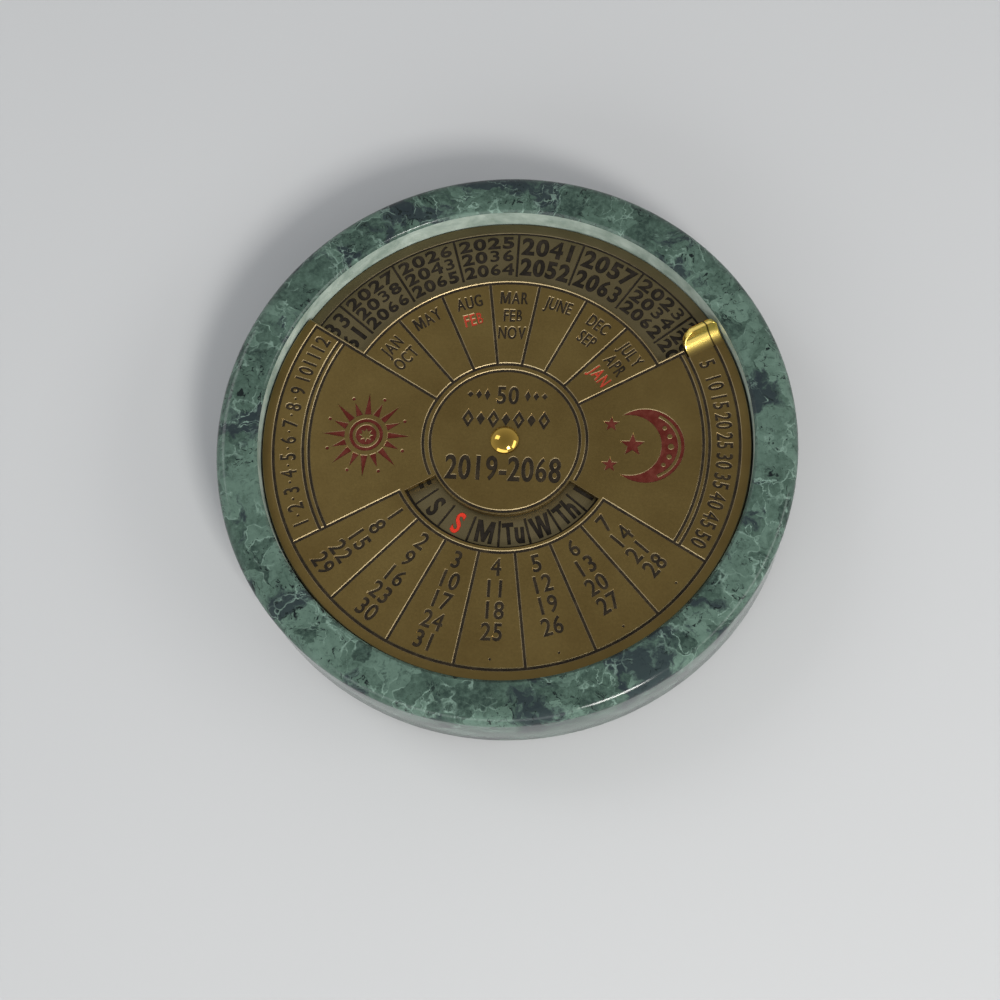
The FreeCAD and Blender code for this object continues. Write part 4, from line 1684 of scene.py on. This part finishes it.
@dataclass
class Rivet:
    """Pivot rivet with a polished dome."""

    shank: float = 1.2
    lip: float = 0.2
    tail_height: float = 0.7
    head_height: float = 1.0
    soft: float = 0.06
    steps: int = 72
    dome_steps: int = 16

    def build(self) -> None:
        """Builds the rivet."""
        low, high = node_box("pivot_rivet")
        radius = high.x
        foot = high.z - self.head_height
        rise = high.z - foot - self.lip
        dome = (radius ** 2 + rise ** 2) / (2.0 * rise)
        reach = math.degrees(math.asin(radius / dome))
        profile = [(0.0, low.z), (radius - self.soft, low.z), (radius, low.z + self.soft)]
        tail = low.z + self.tail_height
        profile += [(radius, tail), (self.shank, tail), (self.shank, foot)]
        profile += [(radius - self.soft, foot), (radius, foot + self.soft)]
        profile += rounded((0.0, high.z - dome), dome, 90.0 - reach, 90.0, self.dome_steps)
        form = spun(profile, self.steps)
        polished = Brass("polished brass", (0.400, 0.262, 0.056), (0.350, 0.218, 0.044), 0.10,
                         spread=0.03, grain=2.0, relief=0.002)
        mesh = finished(form, "rivet", BENT_SHARP)
        show("rivet", mesh, Body.BASE, [polished.make()], ("pivot_rivet",))


def finish_inner_parts() -> None:
    """Gives the inner parts, which keep their CAD form, their own materials."""
    looks = {
        "felt_film": Plain("adhesive film", (0.60, 0.57, 0.48), 0.45),
        "bond_ring": Plain("foam adhesive", (0.72, 0.70, 0.64), 0.80),
        "slip_washer": Plain("natural nylon", (0.78, 0.77, 0.70), 0.50),
        "spring_washer": Plain("spring steel", (0.52, 0.52, 0.53), 0.30, 1.0),
        "tail_washer": Plain("plain brass", (0.60, 0.44, 0.17), 0.32, 1.0),
    }
    for node, look in looks.items():
        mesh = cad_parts[node].data
        mesh.materials.clear()
        mesh.materials.append(look.make())
        log.info("%s: finished", node)


@dataclass
class Studio:
    """Camera at the photograph's angle, pale floor and soft light."""

    frame_pixels: float = 1000.0
    focal_pixels: float = 1600.0
    sensor: float = 36.0
    tilt: float = 18.7027
    roll: float = -11.4569
    turn: float = 14.6
    distance: float = 215.124
    slide: tuple[float, float] = (2.2070, 7.7732)
    near_clip: float = 0.01
    floor_size: float = 3.0
    floor_steps: int = 8
    floor_drop: float = 0.00002
    sky: Colour = (0.96, 0.98, 1.0)
    horizon: float = 0.85
    zenith: float = 0.42

    def build(self) -> None:
        """Builds the camera, the floor and the lights."""
        self.camera()
        self.floor()
        self.lights()

    def camera(self) -> None:
        """Camera as it stood over the calendar."""
        target = node_box("cover_line_enamel")[1].z
        data = bpy.data.cameras.new("camera")
        data.sensor_width = self.sensor
        data.lens = self.focal_pixels / self.frame_pixels * self.sensor
        data.clip_start = self.near_clip
        camera = bpy.data.objects.new("camera", data)
        bpy.context.scene.collection.objects.link(camera)
        turn = Matrix.Rotation(math.radians(self.turn), 4, "Z")
        tilt = Matrix.Rotation(math.radians(self.tilt), 4, "X")
        shift = Matrix.Translation((-self.slide[0] * MM, -self.slide[1] * MM, self.distance * MM))
        roll = Matrix.Rotation(math.radians(self.roll), 4, "Z")
        camera.matrix_world = Matrix.Translation((0.0, 0.0, target * MM)) @ turn @ tilt @ shift @ roll
        bpy.context.scene.camera = camera

    def floor(self) -> None:
        """Plain pale floor, a hair under the felt so that the two faces don't lie in one plane."""
        form = bmesh.new()
        steps = self.floor_steps
        bmesh.ops.create_grid(form, x_segments=steps, y_segments=steps, size=self.floor_size / 2.0)
        bmesh.ops.translate(form, verts=form.verts, vec=(0.0, 0.0, -self.floor_drop))
        mesh = bpy.data.meshes.new("floor")
        form.to_mesh(mesh)
        form.free()
        floor = bpy.data.objects.new("floor", mesh)
        bpy.context.scene.collection.objects.link(floor)
        shader = Shader("pale floor")
        clouds = shader.noise(0.004, 3.0)
        shader.set(Base_Color=shader.mix(clouds, (0.395, 0.40, 0.41), (0.435, 0.44, 0.445)), Roughness=0.85)
        mesh.materials.append(shader.material)

    def lights(self) -> None:
        """Soft sky, brighter low down, and four oblong lamps."""
        world = bpy.data.worlds.new("studio")
        world.use_nodes = True
        tree = world.node_tree
        background = tree.nodes["Background"]
        background.inputs["Color"].default_value = (*self.sky, 1.0)
        parts = tree.nodes.new("ShaderNodeSeparateXYZ")
        direction = tree.nodes.new("ShaderNodeTexCoord").outputs["Generated"]
        tree.links.new(direction, parts.inputs["Vector"])
        rise = tree.nodes.new("ShaderNodeMapRange")
        tree.links.new(parts.outputs["Z"], rise.inputs["Value"])
        rise.inputs["To Min"].default_value = self.horizon
        rise.inputs["To Max"].default_value = self.zenith
        tree.links.new(rise.outputs["Result"], background.inputs["Strength"])
        bpy.context.scene.world = world
        self.lamp("window", (-0.24, -1.00, 0.50), (1.30, 0.42), 5.0, (0.97, 0.99, 1.0))
        self.lamp("right", (0.95, -0.19, 0.57), (0.80, 0.30), 3.3, (1.0, 0.99, 0.97))
        self.lamp("spark", (0.26, -0.42, 0.46), (0.14, 0.14), 3.6, (1.0, 0.98, 0.94))
        self.lamp("left", (-0.85, 0.47, 0.85), (0.45, 0.60), 3.0, (0.97, 0.99, 1.0))
        bpy.context.scene.view_settings.view_transform = "Standard"

    def lamp(self, name: str, place: tuple[float, float, float], size: tuple[float, float], power: float,
             colour: Colour) -> None:
        """Oblong area lamp that points at the calendar.

        Args:
            name: Its name.
            place: Its place in metres.
            size: Its width and its height in metres.
            power: Its power in watts.
            colour: Its colour.
        """
        data = bpy.data.lights.new(name, "AREA")
        data.shape = "RECTANGLE"
        data.size, data.size_y = size
        data.energy = power
        data.color = colour
        lamp = bpy.data.objects.new(name, data)
        bpy.context.scene.collection.objects.link(lamp)
        lamp.location = place
        lamp.rotation_euler = (-Vector(place)).to_track_quat("-Z", "Y").to_euler()


def main() -> None:
    """Builds the calendar and its studio in order."""
    logging.basicConfig(level=logging.INFO, format="%(message)s")
    StoneBase().build()
    Dial().build()
    cover = Cover()
    cover.build()
    FingerTab(cover).build()
    Rivet().build()
    finish_inner_parts()
    Studio().build()


if __name__ == "__main__":
    main()
